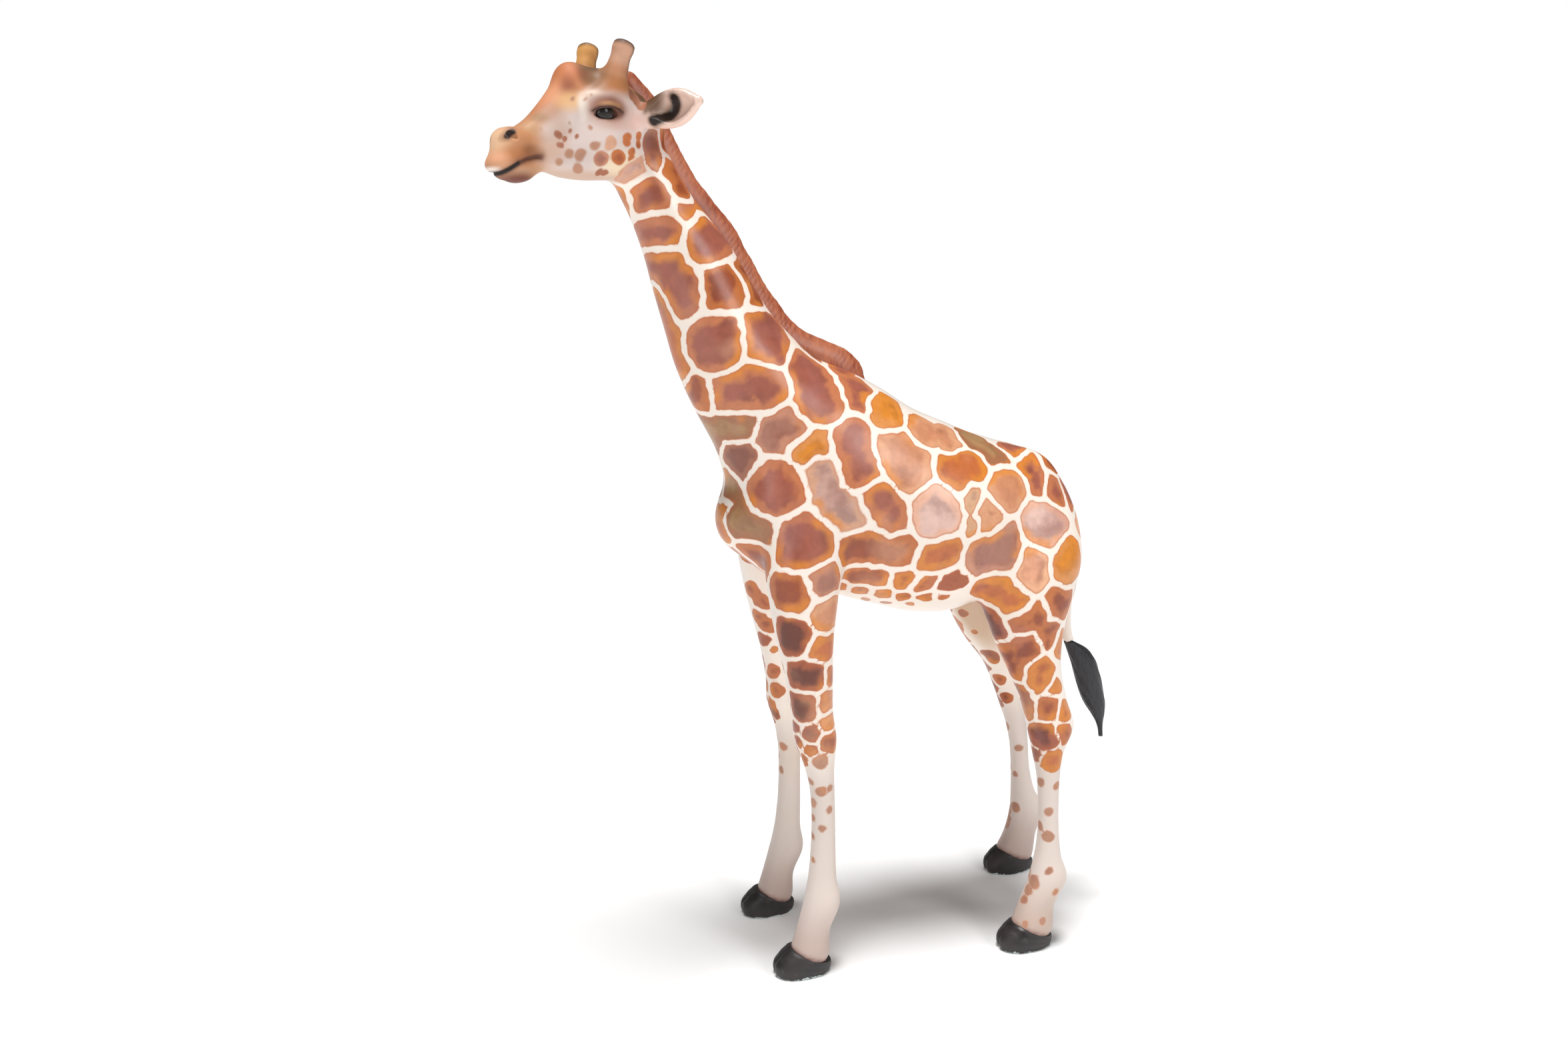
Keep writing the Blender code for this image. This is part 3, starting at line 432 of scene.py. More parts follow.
JAW_BLEND = 0.020  # widths over which the parts of the head run into each other
HORN_BLEND = 0.020
EAR_BLEND = 0.014
LID_BLEND = 0.006
CUP_RIM = 0.005  # roundings of the edges of hollows
LID_RIM = 0.002
NOSTRIL_RIM = 0.004
OPENING_TILT = 4
HEAD_AXES = np.array([  # forward, outward and up
    (-math.cos(HEAD_TURN), -math.sin(HEAD_TURN), 0),
    (math.sin(HEAD_TURN), -math.cos(HEAD_TURN), 0),
    (0, 0, 1),
])


def in_head_axes(points):
    return (points - HEAD_PIVOT) @ HEAD_AXES.T


def from_head_axes(points):
    return points @ HEAD_AXES + HEAD_PIVOT


def head_field(points):
    """Skull, jaw, horns and ears. The two sides are alike but for the horns, so the outward distance
    serves both."""
    p = in_head_axes(points)
    at_horn = np.where(p[:, 1:2] < 0, p - RIGHT_HORN_SHIFT, p)
    at_horn[:, 1] = np.abs(p[:, 1])
    p[:, 1] = np.abs(p[:, 1])
    value = blend(SKULL.field(p), JAW.field(p), JAW_BLEND)
    for centre, radii, tilt, width in HEAD_SWELLINGS:
        value = blend(value, swelling(p, centre, radii, tilt), width)
    value = blend(value, HORN.field(at_horn), HORN_BLEND)
    value = blend(value, hollow(EAR.field(p), EAR_SCOOP.field(p), CUP_RIM), EAR_BLEND)
    value = blend(value, swelling(p, EYE_CENTRE, (LID_RADIUS,) * 3), LID_BLEND)
    value = hollow(value, swelling(p, EYE_OPENING, EYE_OPENING_RADII, OPENING_TILT), LID_RIM)
    return hollow(value, swelling(p, NOSTRIL, NOSTRIL_RADII, NOSTRIL_TILT), NOSTRIL_RIM)


BODY_SWELLINGS = [  # centre, radii, width of the blend
    ((-0.362, 0.000, 1.020), (0.077, 0.088, 0.080), 0.040),  # breast
    ((-0.300, 0.088, 1.060), (0.072, 0.044, 0.074), 0.040),  # point of the shoulder
]


MOUTH_LINE = [  # forward and up, from the middle of the lips back to the corner
    (0.356, 1.727), (0.3461, 1.728), (0.3418, 1.7302), (0.3315, 1.7372), (0.3173, 1.7471),
    (0.2976, 1.7556), (0.2749, 1.7609), (0.2632, 1.7616),
]


def groove(points, line, depth, width):
    """Rise of the field along a line drawn on the side of the head: depth at the line, none beyond width."""
    nearest = np.full(len(points), 1.0)
    for (u0, w0), (u1, w1) in zip(line[:-1], line[1:]):
        du, dw = u1 - u0, w1 - w0
        t = np.clip(((points[:, 0] - u0) * du + (points[:, 2] - w0) * dw) / (du * du + dw * dw), 0, 1)
        nearest = np.minimum(nearest, np.hypot(points[:, 0] - u0 - t * du, points[:, 2] - w0 - t * dw))
    return depth * np.exp(-((nearest / width) ** 2))


RUMP_BLEND = 0.040
NECK_BLEND = 0.110
DOCK_BLEND = 0.020
HEAD_BLEND = 0.030
HEAD_START = 1.60  # height below which nothing of the head reaches


def flesh(points):
    """Field of everything but hooves, mane, eyes and tuft: less than 0 inside, 0 on the surface."""
    sides = np.stack([points[:, 0], np.abs(points[:, 1]), points[:, 2]], 1)
    value = blend(TRUNK.field(points), RUMP.field(points), RUMP_BLEND)
    value = blend(value, NECK.field(points), NECK_BLEND)
    for centre, radii, width in BODY_SWELLINGS:
        value = blend(value, swelling(sides, centre, radii), width)
    for left, right, width in LEGS:
        legs = np.minimum(left.field(points), right.field(points * MIRROR))
        value = blend(value, legs, width)
    value = blend(value, DOCK.field(points), DOCK_BLEND)
    near_head = points[:, 2] > HEAD_START
    head = np.full(len(points), REACH)
    head[near_head] = head_field(points[near_head])
    return blend(value, head, HEAD_BLEND)


PROBE = 2e-4  # distance over which the field's slope is measured
LONGEST_MOVE = 0.006  # how far a point goes in one round
FLATTEST = 0.05  # least slope squared that a point follows


def onto_surface(points, field, rounds=6):
    """Moves points along the field's slope until they lie on its surface."""
    for _ in range(rounds):
        value = field(points)
        slope = np.stack([field(points + PROBE * axis) - value for axis in np.eye(3)], 1) / PROBE
        size = np.sqrt(np.maximum((slope**2).sum(1), FLATTEST))
        points = points - slope * (np.clip(value / size, -LONGEST_MOVE, LONGEST_MOVE) / size)[:, None]
    return points


def object_from(name, verts, faces):
    mesh = bpy.data.meshes.new(name)
    mesh.from_pydata(np.asarray(verts).tolist(), [], [tuple(face) for face in faces])
    mesh.update()
    return placed(name, mesh)


def baked(obj, name):
    """A new object that holds obj as its modifiers leave it; obj is removed."""
    bpy.context.view_layer.update()
    graph = bpy.context.evaluated_depsgraph_get()
    mesh = bpy.data.meshes.new_from_object(obj.evaluated_get(graph))
    bpy.data.objects.remove(obj, do_unlink=True)
    return placed(name, mesh)


def coordinates(mesh, kind="co"):
    """The places of a mesh's points, or with kind "normal" their normals."""
    co = np.empty(len(mesh.vertices) * 3, np.float32)
    mesh.vertices.foreach_get(kind, co)
    return co.reshape(-1, 3).astype(float)


def put_back(mesh, points):
    mesh.vertices.foreach_set("co", points.astype(np.float32).ravel())
    mesh.update()


def relaxed(mesh, points, share=0.5):
    """Moves each point towards the middle of its neighbours."""
    edges = np.empty(len(mesh.edges) * 2, np.int32)
    mesh.edges.foreach_get("vertices", edges)
    edges = edges.reshape(-1, 2)
    total, count = np.zeros_like(points), np.zeros(len(points))
    for a, b in ((0, 1), (1, 0)):
        np.add.at(total, edges[:, a], points[edges[:, b]])
        np.add.at(count, edges[:, a], 1)
    return points + share * (total / count[:, None] - points)


def flipped(faces):
    return [tuple(reversed(face)) for face in faces]


def mirrored(shell):
    verts, faces = shell
    return verts * MIRROR, flipped(faces)


def of_head(shell):
    """A shell moved out of the head's axes, which are left-handed, so its faces turn round on the way."""
    verts, faces = shell
    return from_head_axes(verts), flipped(faces)


def flesh_shells():
    """Closed shells that together fill the skin."""
    shells = [loft.shell() for loft in (TRUNK, RUMP, NECK, DOCK, *(left for left, _, _ in LEGS))]
    shells += [mirrored(right.shell()) for _, right, _ in LEGS]
    shells += [of_head(SKULL.shell()), of_head(JAW.shell())]
    for shell in [HORN.shell(), EAR.shell()] + [ball_shell(c, r) for c, r, _, _ in HEAD_SWELLINGS]:
        shells += [of_head(shell), of_head(mirrored(shell))]
    for centre, radii, _ in BODY_SWELLINGS:
        shells += [ball_shell(centre, radii), mirrored(ball_shell(centre, radii))]
    return shells


def divided(obj, chosen, field):
    """Splits the edges whose two ends are chosen, then draws the new points onto the surface."""
    sheet = bmesh.new()
    sheet.from_mesh(obj.data)
    edges = [edge for edge in sheet.edges if chosen[edge.verts[0].index] and chosen[edge.verts[1].index]]
    bmesh.ops.subdivide_edges(sheet, edges=edges, cuts=1, use_grid_fill=True)
    sheet.to_mesh(obj.data)
    sheet.free()
    put_back(obj.data, onto_surface(coordinates(obj.data), field, 4))


MOUTH_DEPTH = 0.0040
MOUTH_WIDTH = 0.0030
MOUTH_BOTTOM = 1.70
MOUTH_TOP = 1.80
MOUTH_REAR = 0.24


def cut_mouth(skin):
    """Presses the slit between the lips into both sides of the muzzle."""
    points = coordinates(skin.data)
    p = in_head_axes(points)
    near = (p[:, 2] > MOUTH_BOTTOM) & (p[:, 2] < MOUTH_TOP) & (p[:, 0] > MOUTH_REAR)
    slit = np.zeros(len(points))
    slit[near] = groove(p[near], MOUTH_LINE, MOUTH_DEPTH, MOUTH_WIDTH)
    put_back(skin.data, points - slit[:, None] * coordinates(skin.data, "normal"))


SKIN_CELLS = (0.009, 0.0073)


def skin_blank():
    verts, faces, count = [], [], 0
    for v, f in flesh_shells():
        verts.append(v)
        faces += [tuple(i + count for i in face) for face in f]
        count += len(v)
    obj = object_from("skin", np.concatenate(verts), faces)
    for cell in SKIN_CELLS:
        remesh = obj.modifiers.new("one_skin", "REMESH")
        remesh.mode = "VOXEL"
        remesh.voxel_size = cell
        obj = baked(obj, "skin")
        points = onto_surface(coordinates(obj.data), flesh)
        put_back(obj.data, onto_surface(relaxed(obj.data, points), flesh, 2))
    return obj


EYE_ZONE = 0.036  # distances from the eye and along the head that get the finest cells
MUZZLE_START = 0.262
HEAD_FLOOR = 1.70  # height and place along the head from which the cells are finer
HEAD_REAR = -0.03

skin = skin_blank()
head_points = in_head_axes(coordinates(skin.data))
divided(skin, (head_points[:, 2] > HEAD_FLOOR) & (head_points[:, 0] > HEAD_REAR), flesh)
head_points = in_head_axes(coordinates(skin.data))
head_points[:, 1] = np.abs(head_points[:, 1])
near_eye = np.linalg.norm(head_points - EYE_CENTRE, axis=1) < EYE_ZONE
muzzle = head_points[:, 0] > MUZZLE_START
divided(skin, (head_points[:, 2] > HEAD_FLOOR) & (near_eye | muzzle), flesh)
cut_mouth(skin)
put_back(skin.data, coordinates(skin.data) + FRAME_SHIFT)
skin.data.shade_smooth()

# ---- Coat markings
# The coat is airbrushed on a cream ground: large red-brown shapes parted by thin cream lines. They were
# masked by hand, so each has its own outline, an orange rim and darker clouds, under a clear satin lacquer.
def linear(code):
    """Linear colour of a six-digit code, as three numbers."""
    shares = np.array([int(code[k:k + 2], 16) / 255 for k in (0, 2, 4)])
    return np.where(shares <= 0.04045, shares / 12.92, ((shares + 0.055) / 1.055) ** 2.4)


TONES = {  # name: colour of the outer band, colour of the cloud in the middle
    "red": ("C97A50", "A0584A"),
    "rust": ("C4703A", "944428"),
    "dark": ("A85630", "5C271B"),
    "brown": ("A86A50", "8A5040"),
    "orange": ("D98538", "C4683A"),
    "amber": ("E0934F", "E08A28"),
    "khaki": ("A9704C", "B28A5C"),
    "sand": ("DCA880", "CFA084"),
    "tan": ("DFA078", "D18C66"),
    # peach: a pale tone, partly a painted highlight for the gloss on the haunch
    "peach": ("F2B78E", "E8A584"),
    # pink: a painted highlight, the gloss on flank and haunch laid on as the palest shapes
    "pink": ("EDB79C", "E6C2B6"),
    "mauve": ("C98A6E", "A8705E"),
    "lilac": ("D9A486", "CBA397"),
    "fleck": ("BC8A70", "AA7A68"),
}
FRONT_PATCHES = [  # shapes that run round the throat and breast: tone, half width, places as below
    ("red", 5.4, (-38.6, 162.5)), ("red", 4.9, (-37.4, 156), (-34, 151.5)),
    ("orange", 2.2, (-44.5, 169)), ("orange", 3.6, (-38, 147), (-36.5, 141), (-34.6, 135.6)),
    ("rust", 3.8, (-31, 130.5)), ("khaki", 3.8, (-28.2, 121.5), (-23.5, 123)),
    ("orange", 3, (-26.5, 105), (-26, 100)), ("red", 3.6, (-21, 92.5)),
]
BODY_PATCHES = [  # tone, half width, then places on the left side, in centimetres: from the middle, and up
    # neck
    ("lilac", 2.8, (-43.6, 174.4), (-42.2, 174.6)), ("rust", 3.2, (-36.4, 181), (-37.6, 185)),
    ("red", 5.3, (-39.6, 169.3)), ("rust", 4, (-35, 174.5), (-33.5, 172)),
    ("red", 3.2, (-33, 167.5), (-29.5, 168.5)), ("red", 6, (-28.5, 161.3)), ("rust", 5.5, (-26, 152.3)),
    ("rust", 2.5, (-21, 155), (-18.5, 151)),
    # lower neck and shoulder
    ("red", 6.2, (-27.5, 140.7)), ("red", 6, (-16.5, 141)), ("red", 5.2, (-24, 130.6), (-19, 132.2)),
    ("red", 5.2, (-7.4, 134.2), (-5.6, 128.3)), ("brown", 1.6, (-6.2, 139.8), (-3, 139)),
    ("red", 2.6, (1, 134.4), (3.6, 130.8), (3, 128.2)), ("amber", 4.1, (8.8, 125.2)),
    ("mauve", 3.3, (-16.5, 121), (-12.7, 123.2)), ("amber", 3, (-9.8, 118), (-6, 119.6)),
    ("red", 5.2, (0.2, 120.4), (2, 115.2)), ("brown", 3.5, (-22, 115.8)), ("red", 6.3, (-16, 110.4)),
    ("lilac", 4.2, (-6.3, 112.6), (-3.4, 107), (0, 105)),
    ("khaki", 3.4, (-24.3, 108), (-22.8, 103.2), (-19.2, 101.3)), ("red", 6.5, (-10.6, 99.6)),
    ("rust", 4.5, (-18.5, 94.4)),
    # flank, back and haunch; the pale pink shapes mid-flank and on the haunch are a painted highlight, the
    # peach ones partly
    ("tan", 4.9, (9.6, 117), (13.6, 113.2)), ("tan", 2.9, (18.6, 121.4), (24.5, 119.2)),
    ("orange", 3.5, (23.4, 112.4), (28.4, 113.4)), ("khaki", 3.1, (31, 118.2), (36, 114.4)),
    ("red", 2.6, (41.5, 115.7)), ("red", 4.4, (5, 107.2), (8.9, 102.9)), ("pink", 6.4, (18.4, 104.2)),
    ("tan", 5.1, (36.6, 108.3)), ("red", 2.8, (44.6, 112), (46.5, 109)), ("red", 3, (50.2, 106.8)),
    ("pink", 5.6, (45.8, 99.6)), ("rust", 4.5, (2.7, 97.2), (6, 97.2), (10.6, 96.8)),
    ("orange", 4.3, (18.6, 94.4), (20.8, 95.2)), ("tan", 2.9, (31, 103.4), (31.2, 101.4)),
    ("sand", 2, (27.6, 106), (27, 101.2)), ("mauve", 5.2, (30.5, 94), (35, 95.2)),
    ("peach", 3.6, (42, 91.8), (41.6, 88.6)), ("amber", 4, (51, 91)),
    # belly row
    ("rust", 2.7, (3.4, 90), (7.4, 89.4)), ("rust", 2.6, (12.6, 88.6)),
    ("rust", 2.5, (16.8, 87), (18, 88.2)), ("dark", 2.6, (21.6, 87.6), (24.6, 89.4)),
    ("rust", 1.4, (0.2, 87)), ("rust", 1.6, (4.8, 85.8)), ("rust", 1.8, (9.2, 85.2)),
    ("rust", 1.6, (13.8, 84.4)), ("rust", 1.5, (18.4, 84.4)), ("rust", 1.3, (22, 84.8)),
    ("brown", 1.1, (6.8, 83.2)), ("brown", 1.1, (11.4, 82.4)), ("brown", 1.1, (16.2, 82)),
]
LEG_PATCHES = [
    # front leg
    ("rust", 4, (-12.8, 88.5)), ("mauve", 3.6, (-6.8, 91)), ("tan", 3.5, (-6.3, 83.3)),
    ("dark", 4, (-13.2, 79.3)), ("orange", 3, (-7.3, 76)), ("dark", 3.2, (-11.5, 70.8), (-9, 70.2)),
    ("orange", 1.6, (-5, 70)), ("dark", 3.4, (-11.5, 63.3)), ("rust", 2.2, (-6, 64)),
    ("orange", 2.1, (-5.8, 59.8)), ("dark", 2.3, (-9.3, 57.3)), ("rust", 2.1, (-5.3, 54.8)),
    ("dark", 1.7, (-9, 53.3)), ("fleck", 1.8, (-7.4, 50.4)), ("dark", 1.5, (-13, 58)),
    ("dark", 1.5, (-12.3, 55)), ("dark", 1.4, (-11, 50.5)),
    # hind leg
    ("orange", 4, (34.6, 86), (38, 83.2)), ("rust", 3.6, (48, 82)),
    ("dark", 2.8, (33.4, 79.2), (34.6, 75.4)), ("rust", 3, (39.4, 79), (42.6, 79.6), (46, 75.8)),
    ("orange", 1.6, (49.5, 74), (49.7, 71)), ("rust", 2.9, (40.5, 72), (37, 70.5), (39, 66.5)),
    ("orange", 3.3, (44.2, 66)), ("orange", 1.6, (48, 63)), ("brown", 2, (39.5, 62), (42, 57.8)),
    ("rust", 2.7, (46.5, 58.3)), ("orange", 1.8, (50.5, 57)), ("dark", 3.5, (44.8, 51.8)),
    ("rust", 1.7, (49.8, 52.3)), ("brown", 1.6, (43, 47)), ("orange", 2, (47.3, 45.3)),
]
INNER_PATCHES = [  # rear of the haunches, inner side of the right legs, mirrored: from the middle, right, up
    ("red", 4.6, (60, 6.5, 107)), ("peach", 4.3, (62, 6.5, 98)), ("red", 4.4, (61.5, 7, 89)),
    ("rust", 3.8, (58, 7, 80.5)), ("red", 3.4, (60, 11, 74)), ("rust", 2.8, (60, 10.5, 67)),
    ("dark", 2.3, (62, 12.5, 61.5)), ("rust", 3.6, (53, 3, 113.5)),
    ("rust", 2.4, (-16, 8, 83.5), (-13.5, 8, 80.5)), ("rust", 2.3, (-14.5, 9, 76.5), (-12.5, 9, 75)),
    ("dark", 2.2, (-13.6, 10, 70.5)), ("orange", 1.2, (-10.5, 9, 68.2)),
    ("rust", 2.2, (-10.9, 10.5, 62.6)), ("rust", 2, (-9.6, 10.5, 57.9)),
    ("dark", 1.9, (-10.8, 11.5, 54.5), (-10.2, 11.5, 52)), ("fleck", 0.9, (-7.5, 11.5, 43.3)),
    ("fleck", 0.8, (-7.7, 12, 36.5)), ("brown", 1.2, (33.1, 7, 75.9)), ("brown", 1.6, (34.5, 7, 71.9)),
    ("brown", 1, (39.4, 8, 67.1)), ("brown", 1.9, (44.4, 10, 60.4), (45.4, 10, 59.2)),
    ("rust", 1.8, (48.9, 12, 53.7)), ("dark", 1.8, (50.5, 12.5, 47.4)),
    ("fleck", 0.9, (55.9, 14, 34.4)), ("fleck", 0.8, (55.6, 15, 27.5)),
    ("fleck", 1.1, (56.1, 15.5, 17.8)),
]
SHIN_FLECKS = [("fleck", *spot) for spot in [  # faint spots below the knee and the hock
    (1.3, (-7, 43.8)), (1, (-9.3, 45.2)), (0.9, (-4.9, 44)), (1, (-8.5, 40.3)), (0.9, (-4.9, 39)),
    (0.9, (-8.8, 36.5)), (0.9, (-6.3, 34.8)), (0.8, (-8.8, 32.5)), (0.7, (-8.3, 26.8)),
    (1.3, (44.8, 39.5)), (1.1, (48.8, 39.3)), (1.1, (47.3, 33.7)), (1.6, (47, 27.5)),
    (1, (44.3, 29.3)), (1, (47, 19.5)), (1.5, (44, 16.8)), (1.2, (42.5, 14.5), (42, 12)),
    (0.9, (48.3, 14.3)), (0.9, (45.3, 8)), (0.8, (41.5, 7)),
]]
FACE_PATCHES = [  # forward from the joint of the head, and up
    ("brown", 0.9, (23.2, 180.2)), ("brown", 0.7, (21.7, 179.8)),
    ("brown", 0.7, (23, 178.4), (22.4, 178.3)), ("brown", 0.5, (21.9, 183.1), (21.1, 182.9)),
    ("brown", 0.5, (20.6, 181.4)), ("brown", 0.5, (19, 180.4)), ("fleck", 0.6, (17, 182)),
    ("fleck", 0.5, (26.3, 181.3)), ("fleck", 1.1, (20.5, 177.2)), ("fleck", 1.2, (18, 177)),
    ("fleck", 1, (15.4, 178.9)), ("lilac", 1.4, (12.4, 179.2)), ("rust", 0.9, (8.9, 180.6), (9, 179.4)),
    ("rust", 0.9, (6.3, 181), (6.1, 179.6)), ("mauve", 1.6, (14, 176.3)), ("rust", 1.6, (10.6, 176.6)),
    ("rust", 0.9, (7.7, 178), (7.8, 176.8)), ("fleck", 0.8, (22.3, 175.4)), ("fleck", 1.1, (18, 174.6)),
    ("brown", 0.9, (13.8, 173.8), (12.6, 173.7)), ("brown", 1.2, (7.7, 189), (6.6, 187.9), (6, 186.9)),
    ("brown", 0.4, (18.9, 190.2)), ("brown", 0.4, (18.5, 189.4)), ("fleck", 0.5, (19.8, 187)),
    ("fleck", 0.5, (18.6, 186.9)), ("fleck", 0.4, (17.4, 187.9)), ("brown", 0.4, (12.6, 188.8)),
    ("brown", 0.4, (26, 183.2)), ("brown", 3, (2.2, 180), (1.8, 176.5)),
]
HIND_LEG_START = 0.28  # how far back a place is when it lies on a hind leg
FRONT_STANCE = (  # how far the right leg stands back; heights on it, and the share of that way at each
    FRONT_STEP,
    (0.20, 0.28, 0.38, 0.48, 0.61, 0.68, 0.77, 0.85, 0.95, 1.06),
    (0.0, 0.2, 0.3, 0.6, 1.0, 0.8, 0.5, 0.0, -0.4, 0.0),
)
HIND_STANCE = (
    HIND_STEP,
    (0.06, 0.10, 0.17, 0.22, 0.27, 0.37, 0.42, 0.46, 0.53, 0.58, 0.66, 0.74),
    (1.0, 1.03, 0.95, 0.86, 0.8, 0.71, 0.64, 0.58, 0.48, 0.36, 0.13, 0.0),
)
PATCH_SPREAD = {"front": 2.4, "body": 1.85}  # half widths from its middle to a shape's end, if it is free
LONE_SIZE = 1.2  # smaller shapes stand alone on the ground
LONE_LINE = 0.0004
BODY_LINE = 0.0062  # half the width of the cream lines
LEG_LINE = 0.0045
FACE_LINE = 0.0022


def step_back(x, z):
    """How much further back the right leg's shapes lie than the left one's, at a place on the leg."""
    back, heights, shares = HIND_STANCE if x > HIND_LEG_START else FRONT_STANCE
    return back * float(np.interp(z, heights, shares))


LEG_TOP = 0.95  # height below which a shape goes with its leg's stance
STRAY = 0.0016  # how far a right shape strays from the left one, for each centimetre of its half width


def places_on_side(points, normals, patches, side, seed):
    """For each named place, the nearest surface point that faces the side (-1 left, 1 right). On the right
    the places are shifted a little at random, and the legs' ones by that leg's stance."""
    random = np.random.default_rng(seed)
    facing = np.flatnonzero((normals[:, 1] * side > 0.12) & (points[:, 1] * side > -0.004))
    found = []
    for _, size, *places in patches:
        for x, z in places:
            x, z = x / 100, z / 100
            if side > 0:
                if z < LEG_TOP:
                    x += step_back(x, z)
                x, z = (np.array([x, z]) + random.normal(size=2) * STRAY * size).tolist()
            gap = np.hypot(points[facing, 0] - x, points[facing, 2] - z)
            found.append(points[facing[gap.argmin()]])
    return np.array(found)


def nearest_places(points, patches, side):
    """The surface points nearest to places given in full for the right side; the left legs stand further
    forward by their stance."""
    found = []
    for _, _, *places in patches:
        for x, y, z in places:
            x, y, z = x / 100, y * side / 100, z / 100
            if side < 0:
                x -= step_back(x, z)
            found.append(points[np.linalg.norm(points - (x, y, z), axis=1).argmin()])
    return np.array(found)


def wavy(points, push, pitch, seed):
    """Points pushed about by a sum of smooth waves in random directions."""
    random = np.random.default_rng(seed)
    moved = points.copy()
    for _ in range(7):
        run = unit(random.normal(size=3)) * 2 * math.pi / (pitch * random.uniform(0.7, 1.5))
        moved += push * np.sin(points @ run + random.uniform(0, 6.3))[:, None] * unit(random.normal(size=3))
    return moved


BATCH = 6000  # points worked on at a time
CORNER = 0.055  # rounding of a shape's corners, as a share of its half width


def shapes_at(points, places, sizes, owners, spread):
    """How deep each point lies inside its shape, and which shape that is.

    The border between two shapes is the plane where distance squared less half width squared is the same
    for both. The depth is the distance to the nearest border, with corners rounded."""
    depth, owner = np.empty(len(points)), np.empty(len(points), int)
    for start in range(0, len(points), BATCH):
        part = slice(start, start + BATCH)
        gap = np.linalg.norm(points[part, None, :] - places[None], axis=2)
        power = gap**2 - sizes**2
        near = np.argpartition(power, 9, axis=1)[:, :10]
        near = np.take_along_axis(near, np.argsort(np.take_along_axis(power, near, 1), axis=1), 1)
        first = near[:, :1]
        apart = np.linalg.norm(places[near] - places[first], axis=2) + 1e-6
        border = (np.take_along_axis(power, near, 1) - np.take_along_axis(power, first, 1)) / (2 * apart)
        border = np.where(owners[near] == owners[first], 1.0, border)
        own_gap = np.take_along_axis(gap, first, 1)[:, 0]
        edge = (spread * sizes)[first[:, 0]] - own_gap
        softness = CORNER * sizes[first[:, 0]] + 1e-4
        total = np.exp(-np.clip(border / softness[:, None], -8, 60)).sum(1)
        total += np.exp(-np.clip(edge / softness, -8, 60))
        depth[part] = -softness * np.log(total)
        owner[part] = owners[first[:, 0]]
    return depth, owner


def store(mesh, name, values):
    """Keeps a number or a colour for each point of the mesh."""
    if values.ndim == 1:
        mesh.attributes.new(name, "FLOAT", "POINT").data.foreach_set("value", values.astype(np.float32))
        return
    rgba = np.concatenate([values, np.ones((len(values), 1))], 1).astype(np.float32)
    mesh.attributes.new(name, "FLOAT_COLOR", "POINT").data.foreach_set("color", rgba.ravel())


def layered(colours, *layers):
    """colours with layers of paint over them, each given by its colour and its share at each point."""
    for code, share in layers:
        colours = colours + (linear(code) - colours) * np.clip(share, 0, 1)[:, None]
    return colours


def step_up(value, low, high):
    """0 below low, 1 above high, smooth between."""
    t = np.clip((value - low) / (high - low), 0, 1)
    return t * t * (3 - 2 * t)


def spot(points, centre, radii, soft=0.6):
    """1 in an ellipsoid's middle, falling to 0 beyond it over the soft share of its radii."""
    away = np.linalg.norm((points - np.array(centre)) / np.array(radii), axis=1)
    return 1 - step_up(away, 1 - soft, 1 + soft)


HOOF_TOP = (0.050, 0.37)  # height of the coronet above the sole's middle, and its fall to the heel
HOOVES = {  # plan position of the middle of each sole
    "front_left": (-0.284, -0.144),
    "front_right": (-0.285, 0.144),
    "hind_left": (0.249, -0.181),
    "hind_right": (0.385, 0.181),
}
HOOF_ZONE = 0.09  # how far from a sole's middle its leg reaches


def ground_colour(points):
    """Colour of the cream ground, of the lower legs and of the face, with painted shade low on the legs and
    between the hind legs.
    """
    x, y, z = points.T
    # inner: the inner sides of the hind legs under the belly, where the painted shade lies
    inner = step_up(0.115 - np.abs(y), -0.01, 0.03) * step_up(z, 0.55, 0.70) * step_up(0.86 - z, -0.02, 0.06)
    hoof_gap = np.full(len(points), 1.0)
    for hx, hy in HOOVES.values():
        close = np.hypot(x - hx, y - hy) < HOOF_ZONE
        hoof_gap = np.where(close, z - (HOOF_TOP[0] - HOOF_TOP[1] * (x - hx)), hoof_gap)
    return face_colour(points, layered(
        np.tile(linear("FCEFE3"), (len(points), 1)),
        # greyer down the lower legs and darker at the pasterns: painted shade, as less light reaches low
        # down
        ("E7D8CE", step_up(0.56 - z, 0, 0.14)),
        ("C4ABA0", 0.85 * step_up(0.20 - z, 0, 0.14)),
        # khaki high between the hind legs: painted shade in the crease under the belly
        ("C9A37E", 0.75 * inner * step_up(x, 0.10, 0.16) * step_up(0.36 - x, 0, 0.03)),
        ("A98378", 0.9 * step_up(0.012 - hoof_gap, 0, 0.012)),
        ("6A4A46", 0.8 * step_up(0.003 - hoof_gap, 0, 0.004)),
    ))


